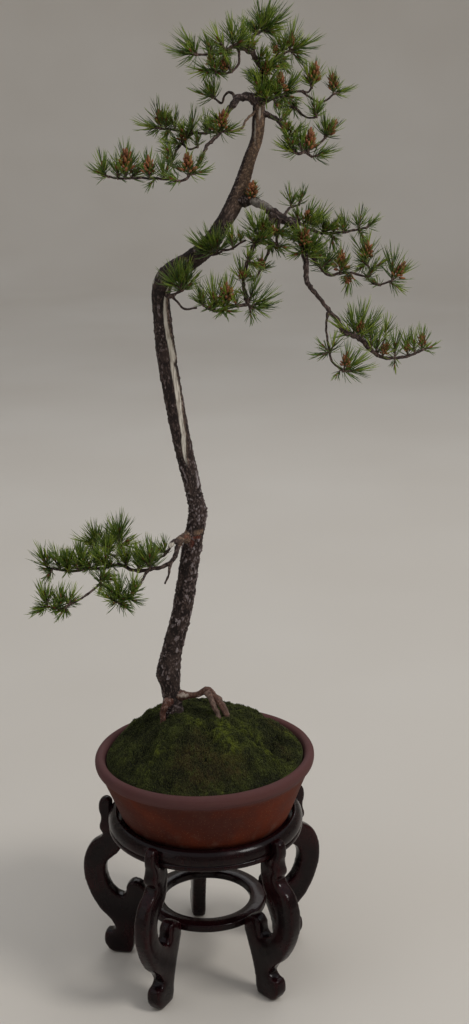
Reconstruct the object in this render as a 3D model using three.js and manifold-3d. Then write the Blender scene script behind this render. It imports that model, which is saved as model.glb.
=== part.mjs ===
// Jack pine bonsai: one old pine in a round unglazed pot, on a carved five-legged wooden stand.
// Millimetres, +Z up. The origin is on the floor, under the middle of the whole object.
// The stand and the pot share one upright axis, and every place below is measured from that axis.
import * as THREE from 'three';
import { mergeVertices } from 'three/addons/utils/BufferGeometryUtils.js';
import Module from 'manifold-3d';

const wasm = await Module();
wasm.setup();

// Driving dimensions
const AXIS_X = -40;
const AXIS_Y = -10;
const GAP = 0.3;
const ROUND_SEGMENTS = 30;

const POT_RADIUS = 150;
const POT_RIM_Z = 322;
const POT_BASE_Z = 230;
const POT_FOOT_RADIUS = 108;
const POT_FOOT_HEIGHT = 9;
const POT_FLOOR = 7;
const POT_LIP = 13.5;
const FOOT_ARCHES = 3;
const FOOT_ARCH_SPAN = 94;
const FOOT_ARCH_HEIGHT = 5.5;
const DRAIN_RADIUS = 12;
const SCREEN = { width: 40, thickness: 1.5, pitch: 8.5, hole: 5.5 };

const MOSS_THICKNESS = 12;
const MOUND_EDGE_Z = 316;
const MOUND_CREST = { x: -15, y: 5, rise: 72 };
const MOUND_ROUNDNESS = 1.1;
const MOUND_BUMPS = [
  { x: 58, y: 92, rise: 3, spread: 32 },
  { x: -92, y: 10, rise: -9, spread: 30 },
  { x: -88, y: 82, rise: 9, spread: 30 },
];

const RING_RADIUS = 134.5;
const RING_TOP_Z = 241;
const RING_BOTTOM_Z = 212;
const PANEL_RADIUS = 121;
const PANEL_THICKNESS = 8;
const LEG_COUNT = 5;
const LEG_AZIMUTH = 24;
const LEG_THICKNESS = 19;
const LEG_BEVEL = 4;
const LEG_REACH = 176.5;
const FOOT_FLAT = { inner: 112, outer: 134 };
const TENON = { radius: 127, length: 8, root: 4, width: 12, thickness: 7 };
const TONGUE = { length: 6, root: 6, thickness: 4 };
const LOWER_RING_EDGE = 3;
const WIRE = { radius: 1, reach: 22, sides: 6 };
const SOIL_RECESS = { radius: 30, height: 6 };
const LOWER_RING = { inner: 60.6, outer: 84, bottom: 92, top: 103.6 };

const FAN_WIDTH = 0.42;
const FAN_SHOULDER = 0.74;
const FAN_SIDES = 5;
const FAN_SETBACK = 1.7;
const FAN_LINK_RADIUS = 4;
const FAN_LINK_SIDES = 3;
const FAN_OVERLAP = 20;

// Materials, one for each mesh, in the colours of the real finishes
const FINISHES = {
  lacquer: { color: 0x1f1013, roughness: 0.28, metalness: 0 },
  terracotta: { color: 0x6b3b2c, roughness: 0.85, metalness: 0 },
  soil: { color: 0x33261c, roughness: 1, metalness: 0 },
  moss: { color: 0x4a5228, roughness: 1, metalness: 0 },
  bark: { color: 0x57494a, roughness: 0.9, metalness: 0 },
  needles: { color: 0x4d6b2c, roughness: 0.6, metalness: 0 },
  mesh: { color: 0x1a1a1a, roughness: 0.6, metalness: 0 },
  wire: { color: 0x9a9a9c, roughness: 0.4, metalness: 1 },
};

// Solids: a closed geometry becomes a solid that can be joined and cut, and a solid becomes a mesh.
function solid(geometry) {
  const bare = geometry.index ? geometry.toNonIndexed() : geometry.clone();
  bare.deleteAttribute('normal');
  bare.deleteAttribute('uv');
  const merged = mergeVertices(bare, 1e-4);
  return new wasm.Manifold(new wasm.Mesh({
    numProp: 3,
    vertProperties: new Float32Array(merged.attributes.position.array),
    triVerts: new Uint32Array(merged.index.array),
  }));
}

function joined(solids) {
  return solids.reduce((whole, piece) => whole.add(piece));
}

function largest(body) {
  const pieces = body.decompose();
  return pieces.reduce((best, piece) => (piece.volume() > best.volume() ? piece : best));
}

const bonsai = new THREE.Group();
bonsai.position.set(AXIS_X, AXIS_Y, 0);

function addPiece(name, body, finish) {
  const mesh = body.getMesh();
  const geometry = new THREE.BufferGeometry();
  geometry.setAttribute('position', new THREE.BufferAttribute(mesh.vertProperties, 3));
  geometry.setIndex(new THREE.BufferAttribute(mesh.triVerts, 1));
  geometry.computeVertexNormals();
  const piece = new THREE.Mesh(geometry, new THREE.MeshStandardMaterial(FINISHES[finish]));
  piece.name = name;
  bonsai.add(piece);
}

// Turned shapes: a profile of [radius, height] points, spun round the upright axis
function turned(profile, close = false) {
  const points = profile.map(([radius, z]) => new THREE.Vector2(radius, z));
  if (close) points.push(points[0].clone());
  const lathe = new THREE.LatheGeometry(points, ROUND_SEGMENTS);
  lathe.rotateX(Math.PI / 2);
  const body = solid(lathe);
  return body.volume() < 0 ? solid(lathe.scale(1, 1, -1)) : body;
}

function block(width, depth, height, x, y, z, azimuth = 0) {
  const box = new THREE.BoxGeometry(width, depth, height);
  box.translate(x, y, z);
  box.rotateZ(THREE.MathUtils.degToRad(azimuth));
  return solid(box);
}

function smooth(route) {
  return new THREE.CatmullRomCurve3(route.map(([x, y, z]) => new THREE.Vector3(x, y, z)));
}

// Limbs: a closed cylinder bent along a smooth route of [x, y, z, radius] points
function limb(route, sides, extra = 0) {
  const path = smooth(route);
  const rings = route.length - 1;
  const cylinder = new THREE.CylinderGeometry(1, 1, 1, sides, rings);
  const frames = [];
  let side = new THREE.Vector3(0.31, 0.94, 0.12);
  for (let ring = 0; ring <= rings; ring += 1) {
    const along = ring / rings;
    const tangent = path.getTangent(along);
    side = side.clone().addScaledVector(tangent, -side.dot(tangent)).normalize();
    const cross = side.clone().cross(tangent);
    frames.push({ centre: path.getPoint(along), side, cross, radius: route[ring][3] + extra, tangent });
  }
  const places = cylinder.attributes.position;
  for (let index = 0; index < places.count; index += 1) {
    const height = places.getY(index) + 0.5;
    const frame = frames[Math.round(height * rings)];
    const point = frame.centre.clone();
    point.addScaledVector(frame.side, places.getX(index) * frame.radius);
    point.addScaledVector(frame.cross, places.getZ(index) * frame.radius);
    if (height < 0.01) point.addScaledVector(frame.tangent, -extra);
    if (height > 0.99) point.addScaledVector(frame.tangent, extra);
    places.setXYZ(index, point.x, point.y, point.z);
  }
  return solid(cylinder);
}

// Thick wood gets more sides than a twig.
function sidesFor(route) {
  const thickest = Math.max(...route.map((point) => point[3]));
  if (thickest > 15) return 10;
  return thickest > 3 ? 6 : 5;
}

function wood(twigs, extra = 0) {
  return joined(twigs.map(({ route }) => limb(route, sidesFor(route), extra)));
}

// The tree's wood, limb by limb, from the pot's axis. A route is a list of [x, y, z, radius] points.
// A shoot of needles is [place, right, front, length]. Place counts the points along its route.
// Right is its lean from upright towards +X and front its lean towards -Y, both in degrees.
const TREE = {
  trunk: [
    {
      route: [
        [-38, 10, 292, 14], [-40, 12, 310, 19], [-43, 14, 340, 22], [-43, 14, 372, 17],
        [-43, 14, 392, 13.5],
        [-45, 14, 412, 14], [-47, 14, 435, 16.5], [-42, 13, 467, 14.5], [-31, 10, 510, 14],
        [-24, 6, 545, 14], [-16, 0, 600, 13.5],
        [-10, -3, 633, 13], [-5, -4, 666, 12.5], [-10, -2, 695, 11], [-18, 1, 732, 12], [-31, 5, 800, 12.5],
        [-42, 8, 875, 13], [-46, 9, 922, 12], [-47, 8, 950, 12.5], [-38, 6, 972, 13], [-10, 1, 990, 12.5],
        [14, -4, 1010, 12], [31, -6, 1035, 10.5], [46, -3, 1060, 11], [56, 1, 1085, 9.5], [66, 5, 1115, 8],
        [74, 7, 1136, 7.5], [77, 8, 1160, 8], [77, 8, 1184, 7.5],
      ],
    },
    {
      route: [
        [76, 8, 1179, 7], [81, 13, 1191, 6], [85, 20, 1208, 5], [79, 19, 1225, 4], [70, 13, 1238, 3.4],
        [59, 3, 1243, 3.4], [49, -6, 1246, 2.8], [37, -16, 1241, 2],
      ],
      shoots: {
        apex_left: [[5.5, 10, -15, 34], [6.2, -10, 5, 36], [7, -35, 10, 30]],
        apex_centre: [[1.7, -60, 40, 28], [2.3, -90, 20, 26], [2.1, 15, 25, 25]],
      },
    },
    {
      route: [
        [70, 13, 1238, 2.2], [72, 13, 1250, 1.9], [69, 16, 1257, 1.8], [75, 22, 1260, 1.8],
        [82, 26, 1264, 1.6],
      ],
      shoots: { apex_top: [[4, -10, 0, 34], [4, 20, 0, 37], [4, 60, -10, 38]] },
    },
    {
      route: [
        [52, -3, 1244, 1.8], [53, -16, 1230, 1.5], [49, -22, 1221, 1.4], [39, -26, 1215, 1.4],
        [27, -26, 1215, 1.4], [20, -22, 1219, 1.3],
      ],
      shoots: { apex_loop: [[3.4, 0, 20, 25], [5, -10, 15, 26], [5, -95, 15, 27]] },
    },
    {
      route: [[40, -13, 1242, 1.8], [20, -22, 1237, 1.5], [3, -29, 1236, 1.4]],
      shoots: { apex_left: [[0.9, -30, 20, 24]], apex_far_left: [[2, -35, 5, 33], [2, -85, 10, 35]] },
    },
    {
      route: [[84, 19, 1216, 1.8], [92, 29, 1228, 1.6], [101, 35, 1234, 1.6], [117, 45, 1241, 1.4]],
      shoots: { apex_right: [[2.2, 145, -10, 22], [2, -20, 25, 21], [3, 10, -5, 36], [3, 75, -10, 37]] },
    },
    {
      route: [
        [77, 6, 1174, 2], [69, 2, 1167, 1.7], [60, -14, 1159, 1.5], [54, -26, 1150, 1.4],
        [42, -32, 1148, 1.3],
      ],
    },
    {
      route: [
        [-38, 13, 402, 10], [-28, 10, 402, 7], [-19, 7, 403, 4.8], [-9, 3, 406, 4.2], [0, 0, 411, 4.6],
        [7, -3, 414, 4.6], [13, -6, 409, 4.2], [20, -10, 400, 4], [28, -14, 387, 3.6], [36, -19, 370, 3.4],
        [43, -23, 350, 3],
      ],
    },
    {
      route: [
        [5, -3, 412, 4], [10, -10, 404, 3.8], [17, -15, 386, 3.6], [20, -18, 371, 3.3], [22, -20, 349, 3],
      ],
    },
    {
      route: [
        [9, -3, 411, 3.6], [22, -4, 400, 3], [30, -4, 383, 2.8], [38, -6, 369, 2.6], [46, -8, 350, 2.4],
      ],
    },
    { route: [[-46, 8, 396, 9], [-53, -2, 391, 5], [-56, -6, 376, 4], [-56, -10, 353, 3.2]] },
    { route: [[-42, 14, 345, 12], [-76, -4, 325, 8], [-98, -20, 308, 4]] },
    { route: [[-40, 14, 340, 12], [-20, 56, 322, 8], [0, 88, 305, 4]] },
    { route: [[-40, 14, 335, 12], [8, -26, 318, 8], [46, -54, 300, 4]] },
    { route: [[-42, 14, 335, 12], [-50, -38, 315, 8], [-42, -80, 300, 4]] },
  ],
  lower_left_branch: [
    {
      route: [
        [-15, -4, 634, 6.5], [-28, -22, 632, 4.6], [-32, -31, 623, 3.4], [-40, -42, 610, 3],
        [-56, -45, 604, 2.8],
        [-72, -45, 600, 2.6], [-89, -38, 598, 2.4], [-107, -26, 602, 2.3], [-128, -19, 596, 2.2],
        [-149, -19, 595, 2], [-170, -16, 591, 1.8], [-202, -10, 594, 1.5],
      ],
      shoots: {
        lower_left_inner: [[4.7, 0, 15, 43], [5.6, 0, -10, 37], [6.5, 0, 20, 38]],
        lower_left_middle: [[7.9, 5, 30, 38], [8.5, 0, -25, 30]],
        lower_left_end: [[9.4, -5, -10, 38], [10.2, 0, 30, 37], [10.5, -15, -20, 34], [11, -20, 5, 33]],
      },
    },
    { route: [[-28, -23, 633, 3.8], [-38, -38, 635, 2.8], [-42, -42, 630, 2.2]] },
    {
      route: [
        [-38, -37, 633, 2], [-44, -22, 619, 1.6], [-51, 0, 605, 1.5], [-64, 16, 594, 1.5],
        [-83, 35, 588, 1.4],
      ],
      shoots: { lower_left_inner: [[1.5, -45, 35, 26], [3, -10, -20, 27], [3.9, -30, -35, 24]] },
    },
    {
      route: [[-107, -26, 602, 1.8], [-114, 6, 602, 1.6], [-126, 38, 598, 1.5], [-141, 67, 599, 1.4]],
      shoots: { lower_left_top: [[3, -15, -15, 34], [2.3, 5, 5, 38], [1.8, -5, 40, 36]] },
    },
    {
      route: [[-114, 6, 602, 1.6], [-110, 22, 607, 1.4], [-112, 35, 610, 1.3]],
      shoots: { lower_left_top: [[2, 10, -10, 41]] },
    },
    {
      route: [[-71, -46, 599, 1.8], [-80, -77, 591, 1.6], [-91, -99, 584, 1.5], [-106, -112, 581, 1.4]],
      shoots: {
        lower_left_front: [
          [2.3, 95, 30, 25], [1.9, 10, -10, 27], [2.8, -5, 10, 36], [3, -55, 25, 31],
        ],
      },
    },
    {
      route: [
        [-128, -21, 595, 1.7], [-131, -54, 586, 1.6], [-146, -70, 578, 1.6], [-161, -80, 571, 1.5],
        [-181, -86, 565, 1.5], [-197, -90, 569, 1.4],
      ],
      shoots: {
        lower_left_middle: [[1, 5, 15, 29]],
        lower_left_low: [[3.5, 25, -30, 25], [4, 5, -10, 30], [5, -5, 5, 36], [5, -115, 25, 23]],
      },
    },
    { route: [[-41, -42, 608, 2], [-43, -52, 596, 1.5], [-48, -61, 587, 1.3]] },
  ],
  right_main_branch: [
    {
      route: [
        [53, -4, 1065, 7], [69, -14, 1064, 5.6], [82, -25, 1059, 5.4], [94, -32, 1051, 5.4],
        [106, -29, 1043, 6],
        [118, -19, 1036, 5.4], [127, -16, 1019, 4.4], [132, -22, 1001, 3.8], [133, -32, 982, 3.6],
        [135, -42, 966, 3.2], [144, -48, 955, 2.8], [154, -51, 943, 2.6], [160, -54, 934, 2.8],
        [171, -58, 923, 2.6], [177, -61, 909, 2.8], [188, -58, 905, 3.2], [201, -51, 896, 3],
        [214, -45, 882, 2.6], [234, -38, 872, 2.2], [262, -26, 872, 1.9], [281, -19, 878, 1.5],
      ],
      shoots: {
        hanging_root: [[0.8, 10, 20, 23]],
        right_mid: [[6.5, -30, 30, 29], [6.7, 0, 35, 34]],
        cascade_upper: [[15.1, -55, 10, 32], [15.3, -10, 0, 38], [15.6, 15, -10, 42], [15.8, 45, -15, 39]],
        cascade_middle: [[17, -5, 5, 37], [17.3, 15, -15, 30], [17.7, 25, 20, 24]],
        cascade_end: [
          [18.4, -175, 20, 17], [18.4, 0, -10, 34], [19, -5, -10, 33], [19.5, -10, 10, 30],
          [20, 0, -10, 29],
          [20, 75, -10, 21],
        ],
      },
    },
    {
      route: [
        [159, -54, 932, 1.8], [156, -61, 918, 1.5], [158, -70, 895, 1.4], [163, -77, 875, 1.4],
        [176, -80, 864, 1.4],
      ],
      shoots: {
        thin_twig_end: [
          [2.4, -45, -15, 20], [2.4, -105, 10, 23], [2.5, 20, 10, 26], [3.8, -135, 20, 16], [4, 15, 0, 34],
          [4, 60, -10, 35], [4, 90, 5, 34],
        ],
      },
    },
    {
      route: [
        [114, -22, 1042, 2.6], [130, 3, 1034, 2.2], [152, 22, 1022, 2], [182, 38, 1020, 1.7],
        [216, 54, 1024, 1.4],
      ],
      shoots: {
        right_top: [[1.6, 45, -20, 35], [1.1, 30, -15, 31], [0.8, -15, 35, 24]],
        right_mid: [[2, -150, 25, 22], [2.2, 5, 35, 25], [2.7, 10, 25, 24]],
        right_upper_end: [[3.2, -10, -5, 26], [3.7, 10, -10, 28], [4, 55, -20, 22]],
      },
    },
    {
      route: [
        [129, -19, 1010, 2.4], [148, 6, 987, 2], [165, 19, 969, 1.9], [181, 29, 969, 1.9],
        [197, 35, 969, 1.7],
        [215, 38, 963, 1.6], [230, 45, 952, 1.5], [250, 48, 957, 1.4],
      ],
      shoots: {
        right_spray_inner: [[1.4, -45, 20, 19], [1.9, -5, -5, 36], [3, 0, 15, 35], [3.9, -165, 15, 28]],
        right_spray_end: [[6.8, 125, -15, 27], [7, 50, -15, 34], [7, 0, -5, 41]],
      },
    },
    {
      route: [[215, 38, 963, 1.5], [221, 48, 971, 1.4], [217, 58, 979, 1.4]],
      shoots: { right_spray_end: [[1, 60, 0, 28], [2, 5, -5, 35], [1.8, -20, -5, 37]] },
    },
    {
      route: [[106, -29, 1047, 1.8], [114, -10, 1055, 1.6], [127, 13, 1057, 1.4]],
      shoots: { right_top: [[1.2, -10, 0, 25], [2, 20, -10, 22]] },
    },
    {
      route: [[221, -43, 879, 1.5], [231, -22, 888, 1.4], [234, -16, 893, 1.3]],
      shoots: { cascade_middle: [[2, 10, -15, 27]] },
    },
    {
      route: [[100, -31, 1046, 3.4], [98, -32, 1028, 2.2], [97, -29, 1011, 1.6]],
      shoots: { right_under: [[1, 120, 50, 18], [1.2, -50, 45, 26], [2, 100, 25, 20]] },
    },
  ],
  hanging_branch: [
    {
      route: [
        [94, -31, 1050, 4.4], [87, -33, 1037, 4.2], [79, -38, 1024, 3.6], [68, -50, 1012, 3],
        [60, -61, 995, 2.4],
        [55, -61, 970, 2.2], [58, -58, 952, 2.6], [59, -58, 944, 2.4], [38, -64, 943, 2],
        [20, -70, 938, 1.9],
        [6, -70, 945, 1.5],
      ],
      shoots: {
        hanging_root: [[2, 0, 25, 33], [2.3, -25, 20, 38], [2.8, -35, 35, 24]],
        hanging_upper: [[4, 0, 35, 22], [5, -15, 15, 31]],
        hanging_low: [[5.7, -75, 30, 15]],
        hanging_left: [[8.2, 0, 10, 39], [9, -5, 5, 40], [10, -15, 10, 28], [9.9, -50, 25, 20]],
      },
    },
    {
      route: [[58, -58, 952, 2.2], [63, -54, 939, 1.8]],
      shoots: { hanging_low: [[0.6, 20, 10, 35], [0.9, 70, -5, 36], [1, 90, 5, 31], [1, 175, 15, 18]] },
    },
    {
      route: [[87, -33, 1037, 3], [88, -19, 1006, 2], [77, -22, 981, 1.7], [69, -29, 968, 1.5]],
      shoots: { hanging_right: [[2, 75, -15, 17], [2, 10, 25, 21], [2.8, -50, 35, 18]] },
    },
  ],
  bend_twig: [
    {
      route: [
        [-40, 2, 949, 3], [-34, -7, 948, 2.4], [-27, -14, 943, 1.6], [-18, -22, 934, 1.4],
        [-2, -29, 936, 1.3],
      ],
    },
    {
      route: [[-34, -8, 948, 2], [-26, -16, 953, 1.8], [-19, -19, 957, 1.6]],
      shoots: { bend_front: [[2, -55, 25, 35], [1.8, -10, 20, 39], [2, 15, 15, 35], [2, 50, -10, 27]] },
    },
  ],
  side_twig: [
    {
      route: [
        [13, -4, 1004, 2.6], [20, -14, 1000, 1.9], [32, -31, 1006, 1.5], [43, -42, 1010, 1.4],
        [52, -45, 1017, 1.4],
        [59, -45, 1020, 1.3],
      ],
      shoots: {
        trunk_bend: [
          [1, -60, 15, 36], [1, -15, 20, 35], [1.3, 5, 25, 35], [3, -5, 10, 28], [4.1, -15, 15, 17],
        ],
      },
    },
  ],
  upper_left_branch: [
    {
      route: [
        [79, 8, 1184, 6.4], [66, 2, 1186, 5.2], [54, -8, 1187, 4.8], [44, -16, 1178, 4.2],
        [34, -19, 1164, 3.4],
        [29, -19, 1147, 2.8], [22, -26, 1139, 2.4], [13, -38, 1131, 2.2], [7, -54, 1118, 1.8],
        [-4, -67, 1104, 1.7], [-17, -74, 1093, 1.6], [-34, -77, 1095, 1.5], [-55, -70, 1096, 1.5],
        [-75, -61, 1096, 1.5], [-94, -48, 1095, 1.4], [-111, -35, 1097, 1.4],
      ],
      shoots: {
        upper_left_inner: [[5, 90, 30, 28], [5, 15, 20, 26]],
        upper_left_front: [[8.5, 20, 30, 16], [9.3, 80, -5, 24], [9.5, 0, 10, 30], [10.2, -70, 40, 24]],
        upper_left_end: [
          [11.2, -10, -20, 27], [11.7, -140, 35, 18], [12, -5, -10, 31], [13.2, 45, -15, 29],
          [13.5, 5, -10, 40],
          [14, -5, 30, 29], [14.7, -65, 20, 24], [15, -10, -10, 29],
        ],
      },
    },
    {
      route: [
        [29, -19, 1148, 1.9], [10, -6, 1145, 1.8], [-5, 6, 1144, 1.7], [-17, 10, 1133, 1.6],
        [-25, 3, 1123, 1.5],
        [-31, -6, 1107, 1.4],
      ],
      shoots: {
        upper_left_inner: [[0.9, 0, 0, 25], [2, 5, -10, 29]],
        upper_left_far: [[3.1, -85, 10, 26], [3, 0, 20, 24]],
        upper_left_front: [[5, 0, 30, 26]],
      },
    },
    {
      route: [[-5, 6, 1144, 1.6], [-24, 22, 1148, 1.5], [-43, 35, 1150, 1.4]],
      shoots: { upper_left_far: [[1.1, 5, -15, 25], [2, -10, -10, 32], [2, -85, -10, 30]] },
    },
    {
      route: [
        [49, -11, 1185, 2], [42, -3, 1193, 1.7], [35, 6, 1188, 1.5], [32, 10, 1180, 1.4],
        [23, 13, 1186, 1.4],
      ],
      shoots: { upper_left_inner: [[3.9, -5, 0, 27], [4, -75, -5, 28]] },
    },
    {
      route: [[-17, 10, 1133, 1.4], [-9, 3, 1126, 1.3], [2, -6, 1129, 1.3]],
      shoots: { upper_left_far: [[2, -5, 25, 20]] },
    },
  ],
  upper_right_twigs: [
    {
      route: [
        [80, 8, 1182, 3], [91, 14, 1184, 2.4], [104, 28, 1188, 2], [120, 42, 1192, 1.7],
        [133, 48, 1193, 1.5],
        [141, 51, 1192, 1.4], [145, 54, 1197, 1.4],
      ],
      shoots: {
        apex_centre: [[1.1, -10, 40, 24], [2, 0, 10, 28], [2.3, 40, -10, 31], [2.2, 105, 25, 24]],
        upper_right_outer: [[6, -20, 10, 30], [6, 15, -10, 33]],
      },
    },
    {
      route: [[133, 48, 1193, 1.5], [145, 58, 1184, 1.4], [159, 64, 1179, 1.4], [174, 70, 1189, 1.3]],
      shoots: { upper_right_outer: [[3, -5, -10, 28], [3, 80, -15, 26]] },
    },
    {
      route: [
        [104, 28, 1188, 1.8], [116, 22, 1183, 1.5], [125, 10, 1171, 1.4], [137, 0, 1162, 1.3],
        [147, -6, 1163, 1.3],
      ],
      shoots: { apex_centre: [[1, 155, 20, 22]], right_middle: [[3.7, 30, -15, 21], [4, -15, 10, 26]] },
    },
  ],
  right_lower_branch: [
    {
      route: [
        [77, 8, 1169, 4], [88, 5, 1166, 3.2], [101, -14, 1158, 2.7], [108, -29, 1144, 2.4],
        [116, -35, 1128, 2.1],
        [122, -35, 1121, 2], [130, -32, 1123, 2], [140, -26, 1117, 1.5],
      ],
      shoots: {
        right_lower: [
          [3, -5, 35, 23], [4, -30, 35, 28], [5, -70, 15, 28], [5.7, -5, -5, 34], [6.5, 10, -15, 29],
          [7, 80, -10, 30],
        ],
      },
    },
    {
      route: [[130, -32, 1123, 1.6], [146, -13, 1129, 1.5], [158, 3, 1138, 1.4]],
      shoots: { right_middle: [[2, 50, -20, 27], [2, -5, -10, 29]] },
    },
  ],
};

// The stand: a moulded top ring, a panel let into it, five scrolled legs and a lower ring
function legOutline() {
  const { inner, outer } = FOOT_FLAT;
  const innerCorner = RING_RADIUS + GAP;
  const top = RING_BOTTOM_Z - GAP;
  const shape = new THREE.Shape();
  const through = (points) => shape.splineThru(points.map(([r, z]) => new THREE.Vector2(r, z)));
  shape.moveTo(inner, 0);
  shape.lineTo(outer, 0);
  through([[146, 9], [149, 23], [146, 32], [138, 33], [131, 39]]);
  through([
    [139, 53], [155, 70], [170, 99], [LEG_REACH, 128], [174, 151], [165, 170], [151, 181], [146, 188],
  ]);
  through([[151, 197], [148.5, 212], [152, 226], [149, 239], [141, 243], [innerCorner, 238]]);
  shape.lineTo(innerCorner, top);
  shape.lineTo(117, top);
  through([
    [118, 186], [124, 164], [134, 153], [143, 144], [146, 131], [144, 117], [138, 103], [129, 94],
    [121, 91],
  ]);
  through([[115, 97], [114, 108], [106, 115.5], [95, 113], [LOWER_RING.outer + GAP, LOWER_RING.top]]);
  shape.lineTo(LOWER_RING.outer + GAP, LOWER_RING.bottom);
  through([[90, 78], [100, 50], [106, 28], [108, 10], [inner, 0]]);
  return shape;
}

function legParts(azimuth, extra = 0) {
  const middle = (LOWER_RING.bottom + LOWER_RING.top) / 2;
  const tenon = block(
    TENON.width + 2 * extra, TENON.thickness + 2 * extra, TENON.length + TENON.root + 2 * extra,
    TENON.radius, 0, RING_BOTTOM_Z + (TENON.length - TENON.root) / 2, azimuth,
  );
  const tongueWidth = LEG_THICKNESS - 2 * LEG_BEVEL;
  const tongue = block(
    TONGUE.length + TONGUE.root + 2 * extra, tongueWidth + 2 * extra, TONGUE.thickness + 2 * extra,
    LOWER_RING.outer + (TONGUE.root - TONGUE.length) / 2, 0, middle, azimuth,
  );
  return { tenon, tongue };
}

function leg(azimuth) {
  const geometry = new THREE.ExtrudeGeometry(legOutline(), {
    depth: LEG_THICKNESS - 2 * LEG_BEVEL,
    curveSegments: 1,
    bevelEnabled: true,
    bevelThickness: LEG_BEVEL,
    bevelSize: LEG_BEVEL,
    bevelOffset: -LEG_BEVEL,
    bevelSegments: 1,
  });
  geometry.translate(0, 0, LEG_BEVEL - LEG_THICKNESS / 2);
  geometry.rotateX(Math.PI / 2);
  geometry.rotateZ(THREE.MathUtils.degToRad(azimuth));
  const { tenon, tongue } = legParts(azimuth);
  return joined([solid(geometry), tenon, tongue]);
}

function legAzimuths() {
  return Array.from({ length: LEG_COUNT }, (_, index) => LEG_AZIMUTH + (index * 360) / LEG_COUNT);
}

function topRing() {
  const rabbet = PANEL_RADIUS + GAP;
  const ledge = POT_BASE_Z - PANEL_THICKNESS - GAP;
  const ring = turned([
    [112, RING_BOTTOM_Z], [128, RING_BOTTOM_Z], [132, 215], [133, 219], [131, 222], [133.5, 225],
    [RING_RADIUS, 230], [133.3, 236], [129.5, 240], [125, RING_TOP_Z], [rabbet, 238.5], [rabbet, ledge],
    [112, ledge],
  ], true);
  return legAzimuths().reduce((body, azimuth) => body.subtract(legParts(azimuth, GAP).tenon), ring);
}

function topPanel() {
  const bottom = POT_BASE_Z - PANEL_THICKNESS;
  return turned([[0, bottom], [PANEL_RADIUS, bottom], [PANEL_RADIUS, POT_BASE_Z], [0, POT_BASE_Z]]);
}

function lowerRing() {
  const { inner, outer, bottom, top } = LOWER_RING;
  const edge = LOWER_RING_EDGE;
  const ring = turned([
    [inner, bottom + edge], [inner + edge, bottom], [outer - edge, bottom], [outer, bottom + 2],
    [outer, top - 2],
    [outer - edge, top], [inner + edge, top], [inner, top - edge],
  ], true);
  return legAzimuths().reduce((body, azimuth) => body.subtract(legParts(azimuth, GAP).tongue), ring);
}

// The pot: one fired piece with a rounded lip, a flared wall, a drain hole and three cut feet
const POT_FLOOR_Z = POT_BASE_Z + GAP + POT_FOOT_HEIGHT + POT_FLOOR;
const POT_INSIDE = [[103, POT_FLOOR_Z], [109, 249], [121, 274], [131.5, 298], [POT_RADIUS - POT_LIP, 314]];

function pot() {
  const base = POT_BASE_Z + GAP;
  const body = turned([
    [0, base + POT_FOOT_HEIGHT], [90, base + POT_FOOT_HEIGHT], [95, base], [POT_FOOT_RADIUS, base],
    [113, 233.5], [117, 240], [121, 249], [130.5, 272], [144, 304], [146.8, 306.5], [149, 309],
    [POT_RADIUS, 314], [149, 320], [146, POT_RIM_Z], [139, POT_RIM_Z],
    ...POT_INSIDE.toReversed(), [0, POT_FLOOR_Z],
  ]);
  const drain = new THREE.CylinderGeometry(DRAIN_RADIUS, DRAIN_RADIUS, 4 * POT_FLOOR, 20);
  drain.rotateX(Math.PI / 2);
  drain.translate(0, 0, POT_FLOOR_Z);
  let cut = body.subtract(solid(drain));
  for (let arch = 0; arch < FOOT_ARCHES; arch += 1) {
    const opening = new THREE.CylinderGeometry(1, 1, 60, 16);
    opening.scale(FOOT_ARCH_SPAN / 2, 1, FOOT_ARCH_HEIGHT);
    opening.translate(0, -POT_FOOT_RADIUS, base);
    opening.rotateZ((arch * 2 * Math.PI) / FOOT_ARCHES);
    cut = cut.subtract(solid(opening));
  }
  return cut;
}

function drainScreen() {
  const z = POT_FLOOR_Z + GAP + SCREEN.thickness / 2;
  let screen = block(SCREEN.width, SCREEN.width, SCREEN.thickness, 0, 0, z);
  for (const x of [-SCREEN.pitch, 0, SCREEN.pitch]) {
    for (const y of [-SCREEN.pitch, 0, SCREEN.pitch]) {
      screen = screen.subtract(block(SCREEN.hole, SCREEN.hole, 2 * SCREEN.thickness, x, y, z));
    }
  }
  return screen;
}

// One bent staple holds the screen: over it, down through the drain hole and out under the floor.
function screenWire() {
  const under = POT_BASE_Z + POT_FOOT_HEIGHT - WIRE.radius - 0.2;
  const over = POT_FLOOR_Z + SCREEN.thickness + 2 * GAP + WIRE.radius + 0.1;
  const half = [
    [6.5, over], [SCREEN.pitch, over - 2], [SCREEN.pitch, under + 5], [9, under + 0.8], [11, under],
    [WIRE.reach, under],
  ];
  const rising = half.toReversed().map(([x, z]) => [-x, 0, z, WIRE.radius]);
  return limb([...rising, ...half.map(([x, z]) => [x, 0, z, WIRE.radius])], WIRE.sides);
}

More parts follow.
